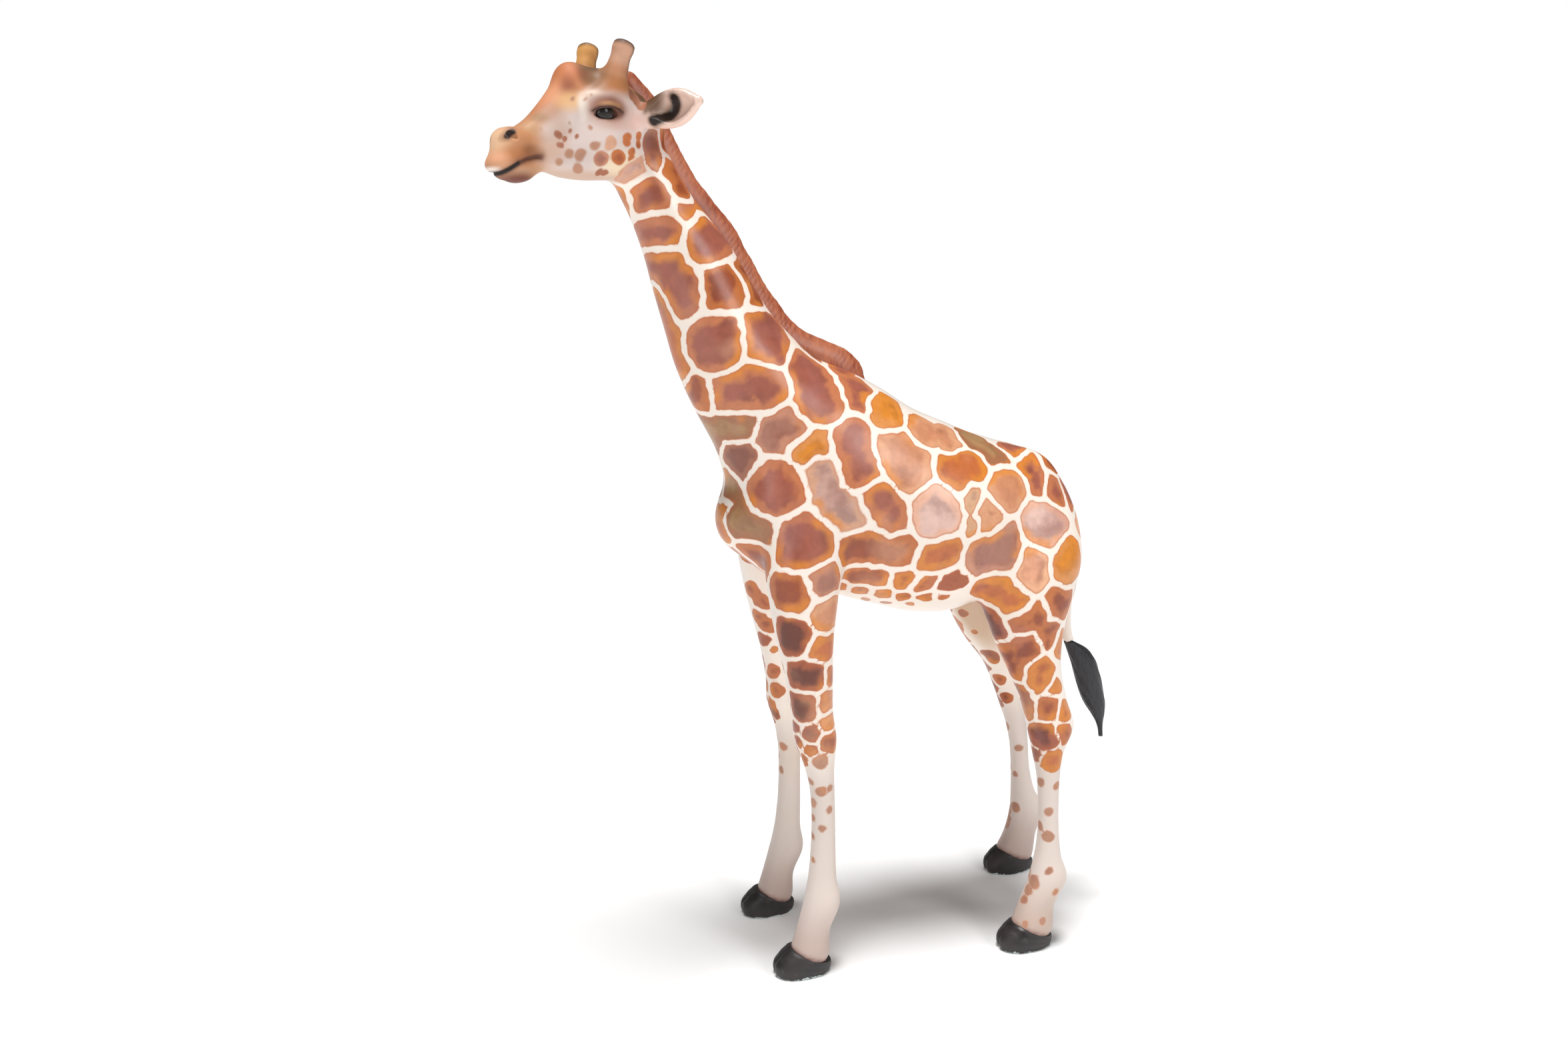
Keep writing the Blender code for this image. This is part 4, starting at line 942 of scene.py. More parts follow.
FACE_TINTS = [  # colour, share, middle (forward, outward, up), radii, softness of the edge
    # brow, nose and crown
    ("CC8054", 0.85, (215, 0, 1880), (75, 40, 50), 0.6),
    ("CF7C50", 0.9, (186, 6, 1920), (28, 36, 28), 0.7),
    ("84452F", 0.85, (166, 34, 1916), (14, 18, 17), 0.8),
    ("94503A", 0.75, (204, 34, 1895), (15, 15, 18), 0.8),
    ("EDA67C", 0.7, (228, 4, 1878), (30, 20, 30), 0.7),
    ("C29A85", 0.7, (246, 36, 1843), (30, 20, 20), 0.7),
    ("EBBB84", 0.8, (205, 46, 1866), (26, 24, 17), 0.7),
    ("64462A", 0.95, (136, 20, 1932), (34, 38, 17), 0.6),
    ("7E5632", 0.95, (145, 50, 1908), (28, 28, 21), 0.7),
    ("B0703F", 0.85, (116, 72, 1902), (34, 30, 17), 0.7),
    ("8C7242", 0.5, (262, 22, 1832), (18, 12, 10), 0.8),
    # muzzle, from the tip, pale with a painted highlight, to the dark band above the mouth
    ("C98A5E", 0.9, (306, 30, 1786), (34, 40, 30), 0.7),
    # painted highlight on top of the muzzle's tip
    ("FBD0A8", 0.85, (346, 6, 1792), (22, 30, 26), 0.8),
    ("BF9468", 0.6, (286, 24, 1812), (18, 20, 12), 0.8),
    ("B87141", 0.8, (312, 34, 1762), (30, 24, 13), 0.8),
    ("8C5530", 0.75, (290, 36, 1772), (17, 20, 9), 0.8),
    ("9E6A3C", 0.5, (268, 32, 1768), (14, 16, 10), 0.8),
    ("F3B48F", 0.7, (346, 8, 1752), (16, 26, 14), 0.8),
    # painted highlight at the tip of the lips
    ("F9EDE4", 0.95, (352, 0, 1735), (11, 22, 6), 0.6),
    # the chin's dark red-brown: painted shade under the muzzle
    ("6F3827", 0.97, (305, 10, 1716), (44, 42, 16), 0.6),
    ("B98A62", 0.45, (272, 16, 1734), (16, 20, 10), 0.8),
    # cheek and jaw
    ("D3A98F", 0.7, (236, 34, 1775), (26, 20, 24), 0.8),
    ("C9A58D", 0.6, (226, 40, 1812), (20, 20, 18), 0.8),
    ("F3DCB6", 0.75, (96, 45, 1756), (44, 30, 24), 0.7),
    ("E9B7A6", 0.6, (70, 62, 1838), (20, 20, 18), 0.8),
    ("D9A796", 0.45, (104, 62, 1826), (26, 20, 10), 0.8),
    # socket: a white crescent before the eye, a dusky ring, a tan lid under a dark fold
    ("FBF4EA", 0.85, (185, 56, 1855), (7, 20, 20), 0.7),
    ("F3DFC8", 0.7, (170, 64, 1881), (16, 20, 5), 0.8),
    ("BC8C78", 0.8, (138, 75, 1852), (48, 35, 30), 0.5),
    ("87523F", 0.95, (137, 76, 1855), (38, 35, 21), 0.45),
    ("B98862", 0.95, (134, 82, 1861), (27, 30, 7.5), 0.5),
    ("6A4032", 0.85, (139, 80, 1847.5), (36, 40, 12.5), 0.3),
]


THROAT_EDGE = 1.745
THROAT_SLOPE = 0.45


def head_share(p, fade):
    """1 on the head and 0 on the neck, in the head's axes: the edge between rises towards the nape."""
    return step_up(p[:, 2] + THROAT_SLOPE * p[:, 0], THROAT_EDGE, THROAT_EDGE + fade)


def face_colour(points, colours):
    """The head: tan over nose, brow and crown, pale pinkish cheeks, dark mouth and nostrils; painted
    highlights on the muzzle and the lips, painted shade under the chin, inside the ears and on the rear of
    the horns.
    """
    p = in_head_axes(points)
    u, v, w = p[:, 0], np.abs(p[:, 1]), p[:, 2]
    q = np.stack([u, v, w], 1)
    on_head = head_share(p, 0.030)
    # tan runs along the top of the nose and over the brow, and covers the whole muzzle
    edge = np.interp(u, [0.00, 0.09, 0.13, 0.17, 0.20, 0.235, 0.26, 0.30],
                     [1.862, 1.882, 1.885, 1.886, 1.870, 1.840, 1.822, 1.800])
    tilt = math.radians(NOSTRIL_TILT)
    du, dw = u - NOSTRIL[0], w - NOSTRIL[2]
    along, across = du * math.cos(tilt) + dw * math.sin(tilt), dw * math.cos(tilt) - du * math.sin(tilt)
    round_nostril = np.hypot(along / NOSTRIL_RADII[0], across / NOSTRIL_RADII[2])
    beside = v > 0.012
    colours = layered(
        colours,
        ("DDCBC3", on_head),
        ("CB8F66", on_head * step_up(w - edge, -0.012, 0.014)),
        ("D2966C", on_head * step_up(u - 0.25 * (w - 1.78), 0.228, 0.296)),
        ("C9A183", 0.6 * on_head * step_up(1.742 - w, -0.008, 0.010)),
        *((code, share * on_head * spot(1000 * q, middle, radii, soft))
          for code, share, middle, radii, soft in FACE_TINTS),
        ("2C1A16", 0.9 * groove(q, LASH_LINE, 1.0, 0.0022) * (v > 0.05)),
        ("9C6A4C", 0.6 * step_up(-round_nostril, -1.7, -0.9) * beside),
        ("2B1811", step_up(-round_nostril, -1.06, -0.72) * beside),
        ("7A4C36", 0.85 * groove(q, MOUTH_LINE[2:], 1.0, 0.0085)),
        ("5C382A", 0.8 * groove(q, MOUTH_LINE, 1.0, 0.0038)),
        ("140806", 1.4 * groove(q, MOUTH_LINE[:5], 1.0, 0.0040)),
    )
    return ear_and_horn_colour(q, p, colours)


LASH_LINE = [  # forward and up along the upper lid
    (0.1735, 1.848), (0.16, 1.855), (0.145, 1.8572), (0.128, 1.8565), (0.112, 1.8535), (0.103, 1.849),
]
EAR_SHADE_LINE = [  # along the ear and down it: the dark crescent of painted shade in the cup, drawn in the ear's own plane
    (0.036, 0.015), (0.05, 0.013), (0.063, 0.01), (0.073, 0.002), (0.079, -0.008), (0.08, -0.016),
]


def ear_and_horn_colour(q, p, colours):
    """Pale ears with painted shade in the cup, a dark crescent, and low at the root; horns tan, darker at
    the root and the tip, with painted shade on the rear.
    """
    at_ear = q - np.array(EAR_ROOT)
    along, out = at_ear @ EAR_ALONG, at_ear @ EAR_OPEN
    height = at_ear @ np.cross(EAR_ALONG, EAR_OPEN)
    aside = np.linalg.norm(at_ear - along[:, None] * EAR_ALONG, axis=1)
    ear = step_up(along, 0.012, 0.024) * (along < 0.16) * (aside < 0.06)
    flat = np.stack([along, np.zeros(len(along)), height], 1)
    crescent = np.clip(2.2 * groove(flat, EAR_SHADE_LINE, 1.0, 0.0105) - 0.15, 0, 1)
    at_horn = np.where(p[:, 1:2] < 0, p - RIGHT_HORN_SHIFT, p)
    at_horn[:, 1] = np.abs(at_horn[:, 1])
    at_horn = at_horn - HORN.origin
    rise, side = at_horn @ HORN.along, at_horn @ HORN.across
    off = np.linalg.norm(at_horn - rise[:, None] * HORN.along, axis=1)
    horn = step_up(rise, 0.004, 0.036) * step_up(0.036 - off, 0, 0.006)
    left = p[:, 1] > 0
    return layered(
        colours,
        ("C98F6C", 0.9 * ear * step_up(-out, -0.004, 0.008)),
        ("F0D0C0", ear * step_up(out, -0.014, -0.006)),
        # a soft tan band and a dark crescent in the hollow of the cup, and brown low at the ear's root:
        # painted shade
        ("E0B59E", 0.7 * ear * groove(flat, EAR_SHADE_LINE, 1.0, 0.0150)),
        ("6B4D33", 0.85 * ear * (1 - step_up(along, 0.040, 0.070)) * (1 - step_up(height, -0.006, 0.006))),
        ("21130D", ear * crescent * step_up(out, -0.022, -0.014)),
        ("8A5A3A", 0.9 * spot(q, (0.010, 0, 1.892), (0.045, 0.050, 0.035), 0.6)),
        ("5C3B1C", 0.9 * spot(q, (0.046, 0.062, 1.886), (0.018, 0.060, 0.027), 0.5)),
        ("D2A083", horn * left),
        ("E2A45E", horn * ~left),
        ("B06A38", 0.85 * horn * step_up(0.034 - rise, -0.012, 0.016)),
        # the rear of each horn darker: painted shade
        ("5E3C28", 0.85 * horn * step_up(-side, 0.006, 0.021)),
        ("3A2A20", 0.9 * horn * step_up(rise + 0.15 * np.abs(side), 0.070, 0.082)),
    )


def all_shapes(points, normals, head_points):
    """Every place of every shape, its half width, its shape's number and its spread; then for each
    number the tone, and whether it stands alone on the ground."""
    head = (head_points * MIRROR, normals @ HEAD_AXES.T * MIRROR)
    body = BODY_PATCHES + LEG_PATCHES + SHIN_FLECKS
    places, rows, tones, alone = [], [], [], []
    for side in (-1, 1):
        found = {
            "front": places_on_side(points, normals, FRONT_PATCHES, side, 1),
            "inner": nearest_places(points, INNER_PATCHES, side),
            "body": places_on_side(points, normals, body, side, 4 + side),
            "face": from_head_axes(places_on_side(*head, FACE_PATCHES, side, 4 + side) * MIRROR),
        }
        found["face"] += FRAME_SHIFT
        for kind, patches in zip(found, (FRONT_PATCHES, INNER_PATCHES, body, FACE_PATCHES)):
            places.append(found[kind])
            for number, (tone, size, *spots) in enumerate(patches):
                lone = tone == "fleck" or kind == "face" or (kind == "body" and size < LONE_SIZE)
                if kind != "front" or side < 0:
                    tones.append(tone)
                    alone.append(lone)
                owner = number if kind == "front" else len(tones) - 1
                spread = PATCH_SPREAD[kind] if kind in PATCH_SPREAD else 1.7 if size > 2.5 else 1.25
                rows += [(size / 100, owner, 1.05 if lone and kind != "inner" else spread)] * len(spots)
    sizes, owners, spreads = np.array(rows).T
    return np.concatenate(places), sizes, owners.astype(int), spreads, np.array(tones), np.array(alone)


points, normals = coordinates(skin.data), coordinates(skin.data, "normal")
head_points = in_head_axes(points - FRAME_SHIFT)
places, sizes, owners, spreads, tones, alone = all_shapes(points, normals, head_points)
asked = wavy(wavy(points, 0.0022, 0.075, 1), 0.0009, 0.026, 2)
shin = step_up(0.62 - points[:, 2], 0, 0.25)
on_face = head_share(head_points, 0.055) * step_up(head_points[:, 0], 0.03, 0.05)
line = BODY_LINE + (LEG_LINE - BODY_LINE) * step_up(0.90 - points[:, 2], 0, 0.3)
line = (line + (FACE_LINE - line) * on_face) * (1 - 0.6 * shin)
depth, owner = shapes_at(asked, places, sizes, owners, spreads)
depth -= np.where(alone[owner], LONE_LINE, line)
soft = np.where(np.isin(tones[owner], ["fleck", "lilac"]), 0.0030, 0.0012)
store(skin.data, "ground", ground_colour(points - FRAME_SHIFT))
for layer, column in (("band", 0), ("core", 1)):
    store(skin.data, layer, np.array([linear(TONES[tone][column]) for tone in tones])[owner])
store(skin.data, "depth", depth)
store(skin.data, "soft", np.maximum(soft, 0.0020 * on_face))
store(skin.data, "calm", np.maximum(on_face, 0.6 * shin))


class Nodes:
    """Short hand for the node tree of a material or a group."""

    def __init__(self, tree):
        self.tree = tree

    def add(self, kind, values=None, **settings):
        node = self.tree.nodes.new(kind)
        for key, value in settings.items():
            setattr(node, key, value)
        self.fill(node, values or {})
        return node

    def fill(self, node, values):
        """Sets inputs of a node, each to a plain value or to another node's output."""
        for key, value in values.items():
            if isinstance(value, bpy.types.NodeSocket):
                self.tree.links.new(value, node.inputs[key])
            else:
                node.inputs[key].default_value = value

    def math(self, operation, a, b):
        return self.add("ShaderNodeMath", {0: a, 1: b}, operation=operation).outputs[0]

    def times(self, first, *others):
        for other in others:
            first = self.math("MULTIPLY", first, other)
        return first

    def less(self, a, b):
        return self.math("SUBTRACT", a, b)

    def ramp(self, value, low, high, to_low=0.0, to_high=1.0):
        """Smooth step from to_low to to_high as value goes from low to high."""
        ends = {"Value": value, "From Min": low, "From Max": high, "To Min": to_low, "To Max": to_high}
        return self.add("ShaderNodeMapRange", ends, interpolation_type="SMOOTHSTEP").outputs["Result"]

    def clouds(self, scale, detail=2.0, rough=0.5, shift=0.0, **ends):
        """The shared clouds: their raw value, or their smooth share where the ends of a step are given."""
        values = {"Scale": scale, "Detail": detail, "Roughness": rough, "Shift": shift, **ends}
        node = self.add("ShaderNodeGroup", node_tree=CLOUDS)
        self.fill(node, values)
        return node.outputs["Share" if ends else "Raw"]

    def mix(self, share, a, b, blend="MIX"):
        values = {0: share, 6: a, 7: b}
        return self.add("ShaderNodeMix", values, data_type="RGBA", blend_type=blend).outputs[2]

    def bump(self, strength, distance, height, **under):
        values = {"Strength": strength, "Distance": distance, "Height": height, **under}
        return self.add("ShaderNodeBump", values).outputs[0]

    def attribute(self, name, output):
        return self.add("ShaderNodeAttribute", attribute_name=name).outputs[output]


def rgb(code):
    return (*linear(code).tolist(), 1.0)


def new_group(name, inputs, outputs):
    """An empty node group with named inputs and outputs, each a pair of name and kind of socket."""
    tree = bpy.data.node_groups.new(name, "ShaderNodeTree")
    for way, sockets in (("INPUT", inputs), ("OUTPUT", outputs)):
        for title, kind in sockets:
            tree.interface.new_socket(title, in_out=way, socket_type=f"NodeSocket{kind}")
    nodes = Nodes(tree)
    return nodes, nodes.add("NodeGroupInput").outputs, nodes.add("NodeGroupOutput")


def clouds_group():
    """Uneven paint: noise in the object's own coordinates, raw and as a smooth step from Low to High."""
    names = ("Scale", "Detail", "Roughness", "Shift", "Low", "High", "From", "To")
    n, given, result = new_group(
        "paint_clouds", [(name, "Float") for name in names], [("Raw", "Float"), ("Share", "Float")]
    )
    place = n.add("ShaderNodeTexCoord").outputs["Object"]
    moved = n.add("ShaderNodeVectorMath", {0: place, 1: given["Shift"]}, operation="ADD").outputs[0]
    values = {name: given[name] for name in ("Scale", "Detail", "Roughness")}
    raw = n.add("ShaderNodeTexNoise", {"Vector": moved, **values}).outputs["Fac"]
    share = n.ramp(raw, given["Low"], given["High"], given["From"], given["To"])
    n.fill(result, {"Raw": raw, "Share": share})
    return n.tree


CLOUDS = clouds_group()


def step(low, high, start=0.0, end=1.0):
    """Ends of the smooth step that a cloud's share takes."""
    return {"Low": low, "High": high, "From": start, "To": end}


def new_material(name):
    material = bpy.data.materials.new(name)
    material.use_nodes = True
    material.node_tree.nodes.clear()
    nodes = Nodes(material.node_tree)
    shader = nodes.add("ShaderNodeBsdfPrincipled")
    nodes.add("ShaderNodeOutputMaterial", {0: shader.outputs[0]})
    return material, nodes, shader


def coat_material():
    material, n, shader = new_material("airbrushed_coat")
    depth, soft, calm = (n.attribute(name, "Fac") for name in ("depth", "soft", "calm"))
    live = n.less(1.0, calm)
    ragged = n.times(n.less(n.clouds(85.0, 3.0), 0.5), 0.0032)
    edge = n.math("ADD", depth, n.times(ragged, live))
    mask = n.ramp(n.math("DIVIDE", edge, soft), -1.0, 1.0)
    # darker clouds in the middle, orange ones towards the edge, and a thin strong rim
    cloud = n.times(n.less(n.clouds(16.0, 3.0, 0.55), 0.5), 0.060)
    inside = n.ramp(n.math("ADD", depth, cloud), 0.006, 0.022)
    paint = n.mix(n.times(inside, 0.85), n.attribute("band", "Color"), n.attribute("core", "Color"))
    smoke = n.times(n.clouds(13.0, 3.0, 0.55, 11.9, **step(0.46, 0.66)), inside, 0.42)
    paint = n.mix(smoke, paint, rgb("7C3B2A"))
    outside = n.less(1.0, n.ramp(depth, 0.006, 0.024))
    orange = n.times(n.clouds(11.0, 2.0, 0.5, 7.3, **step(0.52, 0.64)), outside, 0.72, live)
    paint = n.mix(orange, paint, rgb("E48A28"))
    paint = n.mix(n.clouds(9.0, 2.0, 0.5, 3.1, **step(0.55, 0.72, 0.0, 0.35)), paint, rgb("A86C66"))
    # pale clouds of lighter paint, partly a painted highlight for the gloss of the lacquer
    paint = n.mix(n.clouds(7.0, 2.0, 0.5, 15.7, **step(0.56, 0.74, 0.0, 0.36)), paint, rgb("EFB892"))
    fine = n.clouds(60.0, 4.0, 0.6, 1.9, **step(0.3, 0.7, 0.93, 1.05))
    grey = n.add("ShaderNodeCombineColor", {0: fine, 1: fine, 2: fine}).outputs[0]
    paint = n.mix(1.0, paint, grey, "MULTIPLY")
    rim = n.less(1.0, n.ramp(edge, 0.0008, 0.0042))
    paint = n.mix(n.times(rim, 0.65, live), paint, rgb("C2673A"))
    glow = n.ramp(depth, -0.0030, -0.0002, 0.0, 0.35)
    ground = n.mix(n.times(glow, live), n.attribute("ground", "Color"), rgb("F0C29A"))
    ground = n.mix(n.clouds(5.0, 3.0, 0.6, 21.0, **step(0.50, 0.75, 0.0, 0.16)), ground, rgb("EBCFA6"))
    rough = n.clouds(26.0, 3.0, 0.6, 5.0, **step(0.3, 0.75, 0.32, 0.46))
    grain = n.bump(0.25, 0.0006, n.clouds(240.0, 3.0, 0.6))
    n.fill(shader, {
        "Base Color": n.mix(mask, ground, paint),
        "Roughness": n.math("ADD", rough, n.times(calm, 0.22)),
        "Normal": n.bump(0.35, 0.002, n.clouds(30.0, 2.0, 0.5, 2.0), Normal=grain),
        "Specular IOR Level": 0.45,
        "Coat Weight": n.ramp(calm, 0.0, 1.0, 0.30, 0.02),
        "Coat Roughness": 0.26,
    })
    return material


def dressed(piece, material, slot, *nodes):
    """A finished piece on the one body, with its paint and the solids that it stands for."""
    piece.data.materials.clear()
    piece.data.materials.append(material)
    piece.data.shade_smooth()
    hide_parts(*nodes)
    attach(piece, "root")


SHELL_NODES = ("trunk", "neck", "head", "ear_", "ossicone_", "leg_", "tail_dock")
dressed(skin, coat_material(), "coat", *(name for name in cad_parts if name.startswith(SHELL_NODES)))

# ---- Mane
# A crest of short stiff hair from the poll to the withers, moulded as one thin ridge and laid on the neck.
# Its sides carry shallow strokes that follow the hair, and it is painted one red-brown all over.
MANE = Loft([  # along the neck, root, free edge, where widest, half width, y
    (1189, 490, 571, 531, 16),
    (1230, 490, 579, 531, 17),
    (1269, 480, 566, 521, 16),
    (1313, 449, 535, 490, 16),
    (1354, 429, 504, 460, 15),
    (1439, 409, 483, 449, 15),
    (1554, 404, 478, 439, 15),
    (1628, 404, 478, 439, 15),
    (1691, 393, 466, 429, 14),
    (1750, 383, 458, 419, 13),
    (1844, 383, 461, 419, 13),
    (1912, 388, 464, 424, 12, 6),
    (1966, 404, 452, 430, 9, 10),
], along=NECK_ALONG, across=NECK_ACROSS, ends=(0.025, 0.012))
MANE_ROWS = 420
MANE_TURNS = 72
MANE_CAP = 0.03  # share of the length that each rounded end adds
STROKE_DEPTH = 0.0004
STROKE_LEAN = 0.35


def mane_rings():
    """The loft's rings, pinched to a blade towards the free edge, with hair strokes that lean back: the
    half width and the height of the edge both ride on waves of the place along the neck."""
    table = MANE.table
    share = np.linspace(-MANE_CAP, 1 + MANE_CAP, MANE_ROWS)[:, None]
    inside = np.clip(share, 0, 1)
    length = table[-1, 0] - table[0, 0]
    at = table[0, 0] + inside * length
    low, high, wide, half, offset = (np.interp(at, table[:, 0], column) for column in table[:, 1:].T)
    taper = np.sqrt(np.maximum(1 - ((share - inside) / (MANE_CAP + 1e-4)) ** 2, 0.0))
    at = at + (share - inside) * length
    angle = np.linspace(0, 2 * math.pi, MANE_TURNS, endpoint=False)[None]
    up = np.where(np.sin(angle) > 0, high - wide, wide - low) * np.sin(angle) * taper
    lean = at - STROKE_LEAN * up
    stroke = np.sin(lean * 560 + 1.5 * np.sin(lean * 95)) + 0.5 * np.sin(lean * 1310 + 2.0)
    free = np.clip(np.sin(angle), 0, 1)
    out = half * np.cos(angle) * (1 - 0.35 * free**1.5)
    out += STROKE_DEPTH * stroke * np.sign(np.cos(angle)) * free
    clump = 0.0007 * np.sin(at * 75 + np.sin(at * 40)) + 0.0003 * np.sin(at * 302)
    rise = wide + up + free**4 * (clump - 0.0010) * taper
    parts = zip((at, rise, offset + out * taper), (MANE.along, MANE.across, MANE.side))
    return sum(value[..., None] * axis for value, axis in parts)


def hair_group():
    """Combed hair: noise drawn out along the strands, with its colour, roughness and furrows."""
    n, given, result = new_group(
        "combed_hair",
        [("Turn", "Vector"), ("Stretch", "Vector"), ("Scale", "Float"), ("Dark", "Color"), ("Pale", "Color"),
         ("Sleek", "Float"), ("Depth", "Float")],
        [("Color", "Color"), ("Roughness", "Float"), ("Normal", "Vector")],
    )
    place = n.add("ShaderNodeTexCoord").outputs["Object"]
    way = {"Vector": place, "Rotation": given["Turn"], "Scale": given["Stretch"]}
    turned = n.add("ShaderNodeMapping", way).outputs["Vector"]
    noise = {"Vector": turned, "Scale": given["Scale"], "Detail": 4.0, "Roughness": 0.6}
    hair = n.add("ShaderNodeTexNoise", noise).outputs["Fac"]
    n.fill(result, {
        "Color": n.mix(n.ramp(hair, 0.3, 0.7), given["Dark"], given["Pale"]),
        "Roughness": n.ramp(hair, 0.3, 0.7, given["Sleek"], 0.52),
        "Normal": n.bump(given["Depth"], 0.0012, hair),
    })
    return n.tree


HAIR = hair_group()


def crest_material():
    material, n, shader = new_material("brown_crest_paint")
    hair = n.add("ShaderNodeGroup", node_tree=HAIR)
    n.fill(hair, {
        "Turn": (0.0, math.radians(32), 0.0), "Stretch": (5, 5, 1), "Scale": 26.0,
        "Dark": rgb("98492F"), "Pale": rgb("BC6C48"), "Sleek": 0.36, "Depth": 0.3,
    })
    base = n.mix(n.clouds(6.0, **step(0.45, 0.75, 0.0, 0.55)), hair.outputs["Color"], rgb("CB8059"))
    base = n.mix(n.clouds(14.0, 3.0, 0.6, 4.4, **step(0.60, 0.75, 0.0, 0.45)), base, rgb("7C3C2A"))
    n.fill(shader, {
        "Base Color": base,
        "Roughness": hair.outputs["Roughness"],
        "Normal": hair.outputs["Normal"],
        "Coat Weight": 0.2,
        "Coat Roughness": 0.25,
    })
    return material


def moulded(name, rings):
    """A closed piece drawn through rings of points, in its place, with its faces turned outwards."""
    piece = object_from(name, *closed_tube(rings + FRAME_SHIFT))
    sheet = bmesh.new()
    sheet.from_mesh(piece.data)
    bmesh.ops.recalc_face_normals(sheet, faces=sheet.faces)
    sheet.to_mesh(piece.data)
    sheet.free()
    return piece


dressed(moulded("crest", mane_rings()), crest_material(), "crest", "mane")

# ---- Hooves
# Four cloven-looking hooves, cast with the legs and painted near black. The wall flares to the ground, the
# coronet falls towards the heel, and use has chipped the paint off the lower edge down to the pale gel coat.
HOOF_RINGS = 56
HOOF_TURNS = 120
HOOF_SQUARE = 2.3
HOOF_RADIUS = 0.045
CLEFT_WIDTH = 0.0045
CLEFT_DEPTH = 0.0035
GROWTH_RING = 0.00025
HOOF_BEVEL = 0.0022  # how far the wall draws in at the ground and at the coronet
HOOF_TUCK = 0.0050
HOOF_ROWS = [  # height, toe, heel, where widest, half width: distances behind the middle of the sole
    (-10, -59, 57, -10, 38.5),
    (4, -64, 62, -10, 41),
    (14, -68, 65, -10, 42.5),
    (30, -65, 64, -6, 43),
    (43, -54, 63, 0, 42),
    (55, -40, 62, 8, 40.5),
    (65, -29, 61, 14, 39.5),
    (76, -20, 60, 18, 38.5),
]


def hoof_rings(name):
    """Surface of two parameters: the angle round, and the share of the way from sole to coronet. The height
    is that share of the coronet's height at the same place, so the top ring lies in the slanted plane."""
    table = smooth_table(np.array(HOOF_ROWS) / 1000)
    angle = np.linspace(0, 2 * math.pi, HOOF_TURNS, endpoint=False)[None]
    c, s = np.cos(angle), np.sin(angle)
    share = np.linspace(0.0, 1.0, HOOF_RINGS)[:, None]
    height = np.full((HOOF_RINGS, HOOF_TURNS), 0.02) * share
    # outline and height depend on each other, so both settle in a few rounds
    for _ in range(12):
        front, rear, wide, half = (np.interp(height, table[:, 0], column) for column in table[:, 1:].T)
        x = wide + np.where(c > 0, rear - wide, wide - front) * np.sign(c) * np.abs(c) ** (2 / HOOF_SQUARE)
        y = half * np.sign(s) * np.abs(s) ** (2 / HOOF_SQUARE)
        height = share * (HOOF_TOP[0] - HOOF_TOP[1] * x)
    cleft = np.exp(-((y / CLEFT_WIDTH) ** 2)) * (x < -0.01)
    x = x + CLEFT_DEPTH * cleft * np.clip(1.4 - share * 1.2, 0, 1)
    growth = GROWTH_RING * np.sin(share * 21 + 0.6 * np.sin(angle * 2))
    bevel = HOOF_BEVEL * np.clip(1 - height / 0.004, 0, 1) ** 2
    tuck = HOOF_TUCK * np.clip((share - 0.88) / 0.12, 0, 1) ** 2
    grown = 1 + (growth - bevel - tuck) / HOOF_RADIUS
    ring = np.stack([x * grown, y * grown, np.maximum(height, 0.0)], -1) + (*HOOVES[name], 0)
    sole, top = ring[:1].mean(1, keepdims=True), ring[-1:].mean(1, keepdims=True)
    return np.concatenate([sole + (ring[:1] - sole) * 0.9, ring, top + (ring[-1:] - top) * 0.6])


def hoof_material():
    material, n, shader = new_material("black_hoof_paint")
    height = n.add("ShaderNodeSeparateXYZ", {0: n.add("ShaderNodeTexCoord").outputs["Object"]}).outputs["Z"]
    base = n.mix(n.clouds(18.0, 3.0, **step(0.35, 0.7)), rgb("252122"), rgb("3B3434"))
    base = n.mix(n.clouds(40.0, 4.0, 0.65, 2.2, **step(0.55, 0.8, 0.0, 0.5)), base, rgb("5A5654"))
    wear = n.less(n.clouds(70.0, 4.0, 0.65, 8.0), n.times(height, 34.0))
    n.fill(shader, {
        "Base Color": n.mix(n.ramp(wear, 0.40, 0.45), base, rgb("C6D4D0")),
        "Roughness": n.clouds(18.0, 3.0, **step(0.3, 0.7, 0.38, 0.60)),
        "Normal": n.bump(0.4, 0.0008, n.clouds(150.0, 4.0, 0.6)),
    })
    return material


hoof_paint = hoof_material()
for name in HOOVES:
    dressed(moulded(f"hoof_wall_{name}", hoof_rings(name)), hoof_paint, "hoof", f"hoof_{name}")

# ---- Eyes
# Two balls of dark acrylic, polished, so dark that pupil and iris hardly part. Each is set behind the lids
# from inside the head and glued to the shell, so only the part between the lids shows.
EYE_TURNS = 96
EYE_RINGS = 48
EYE_GAP = 0.03  # angle left open at the poles


def eye_rings(side):
    """A ball whose poles lie on the outward axis."""
    ball = ball_rings(EYE_RINGS, EYE_TURNS, EYE_GAP)[..., [0, 2, 1]]
    ball = (ball * EYE_RADIUS + np.array(EYE_CENTRE)) * (1, side, 1)
    return from_head_axes(ball.reshape(-1, 3)).reshape(ball.shape)


def eye_material():
    material, n, shader = new_material("dark_acrylic_eye")
    n.fill(shader, {
        "Base Color": n.mix(n.clouds(120.0, 3.0, 0.6, **step(0.35, 0.7)), rgb("16110F"), rgb("2E2724")),
        "Roughness": n.clouds(120.0, 3.0, 0.6, **step(0.3, 0.7, 0.22, 0.32)),
        "Specular IOR Level": 0.25,
        "Coat Weight": 0.25,
        "Coat Roughness": 0.16,
    })
    return material


eye_paint = eye_material()
for name, side in (("left", 1), ("right", -1)):
    dressed(moulded(f"eyeball_{name}", eye_rings(side)), eye_paint, "eye", f"eye_{name}")

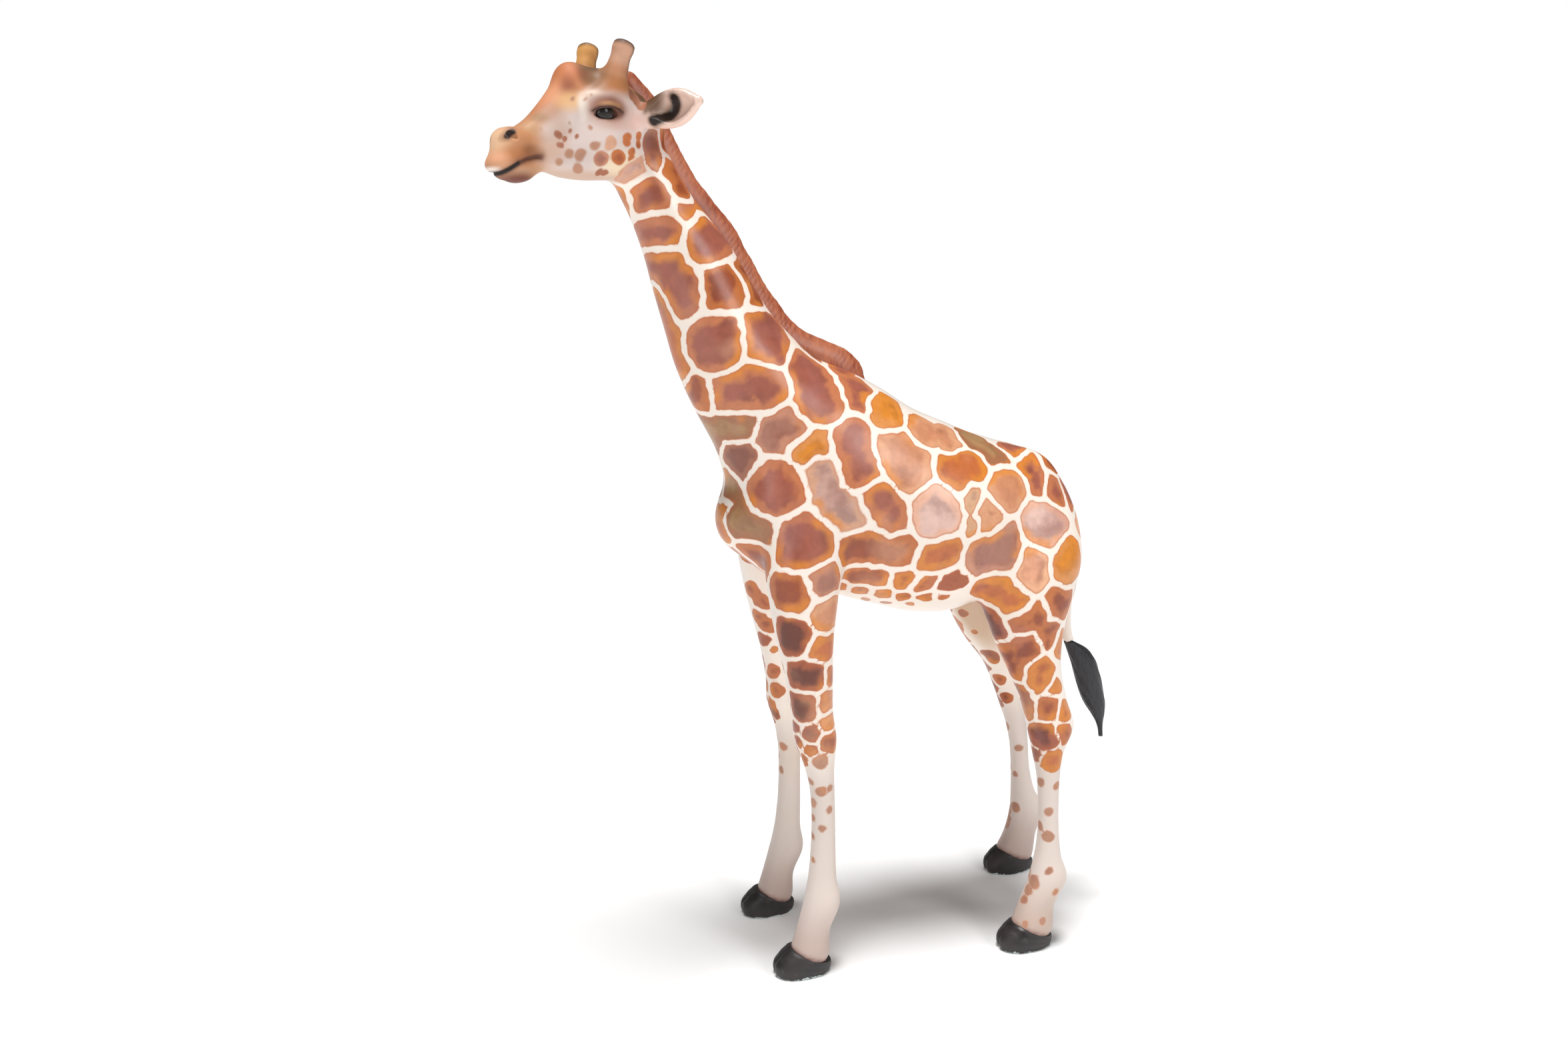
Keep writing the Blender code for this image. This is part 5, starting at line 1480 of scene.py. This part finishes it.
# ---- Tail tuft
# The black tassel is a solid leaf-shaped casting, twisted a little, with combed strokes and a thin tip. Its
# top is glued to the end of the tail root, where the coat's paint stops.
TUFT = Loft([  # height, front x, rear x, x where widest, half width
    (420, 526, 537, 531, 5),
    (440, 523, 535, 528, 6.8),
    (462, 514, 535, 524, 10.5),
    (478, 504, 537, 520, 14.5),
    (507, 484, 537, 510, 20.5),
    (550, 463, 527, 494, 24),
    (590, 450, 516, 483, 25),
    (630, 436, 498, 467, 23.2),
    (655, 426, 474, 449, 18.5),
    (671.4, 419, 444, 432, 13),
], along=(0, 0, 1), across=(1, 0, 0), ends=(0.006, 0.0002))
TUFT_ROWS = 240
TUFT_TURNS = 96
TUFT_TWIST = 2.2
FURROW = 0.030  # depth of the broad furrows, and of the fine strokes between them
FINE_STROKE = 0.018


def tuft_rings():
    """The loft's rings with long shallow furrows that turn slowly round it on the way down."""
    table = TUFT.table
    share = np.linspace(0, 1, TUFT_ROWS)[:, None]
    height = table[0, 0] + share * (table[-1, 0] - table[0, 0])
    front, rear, wide, half = (np.interp(height, table[:, 0], column) for column in table[:, 1:5].T)
    angle = np.linspace(0, 2 * math.pi, TUFT_TURNS, endpoint=False)[None]
    twist = angle + TUFT_TWIST * share
    depth = FURROW * np.abs(np.sin(twist * 3.5)) ** 0.7 + FINE_STROKE * np.sin(twist * 11 + 3 * share)
    furrow = 1 - depth * np.clip(6 * (1 - share), 0, 1) * np.clip(8 * share, 0, 1)
    x = wide + np.where(np.cos(angle) > 0, rear - wide, wide - front) * np.cos(angle) * furrow
    y = half * np.sin(angle) * furrow
    return np.stack([x, y, height * np.ones_like(angle)], -1)


def tuft_material():
    material, n, shader = new_material("black_tuft_paint")
    hair = n.add("ShaderNodeGroup", node_tree=HAIR)
    n.fill(hair, {
        "Turn": (0.0, math.radians(-22), 0.0), "Stretch": (12, 12, 1), "Scale": 22.0,
        "Dark": rgb("1C1B1E"), "Pale": rgb("323136"), "Sleek": 0.34, "Depth": 0.45,
    })
    n.fill(shader, {
        "Base Color": hair.outputs["Color"],
        "Roughness": hair.outputs["Roughness"],
        "Normal": hair.outputs["Normal"],
    })
    return material


dressed(moulded("tassel", tuft_rings()), tuft_material(), "tuft", "tail_tuft")
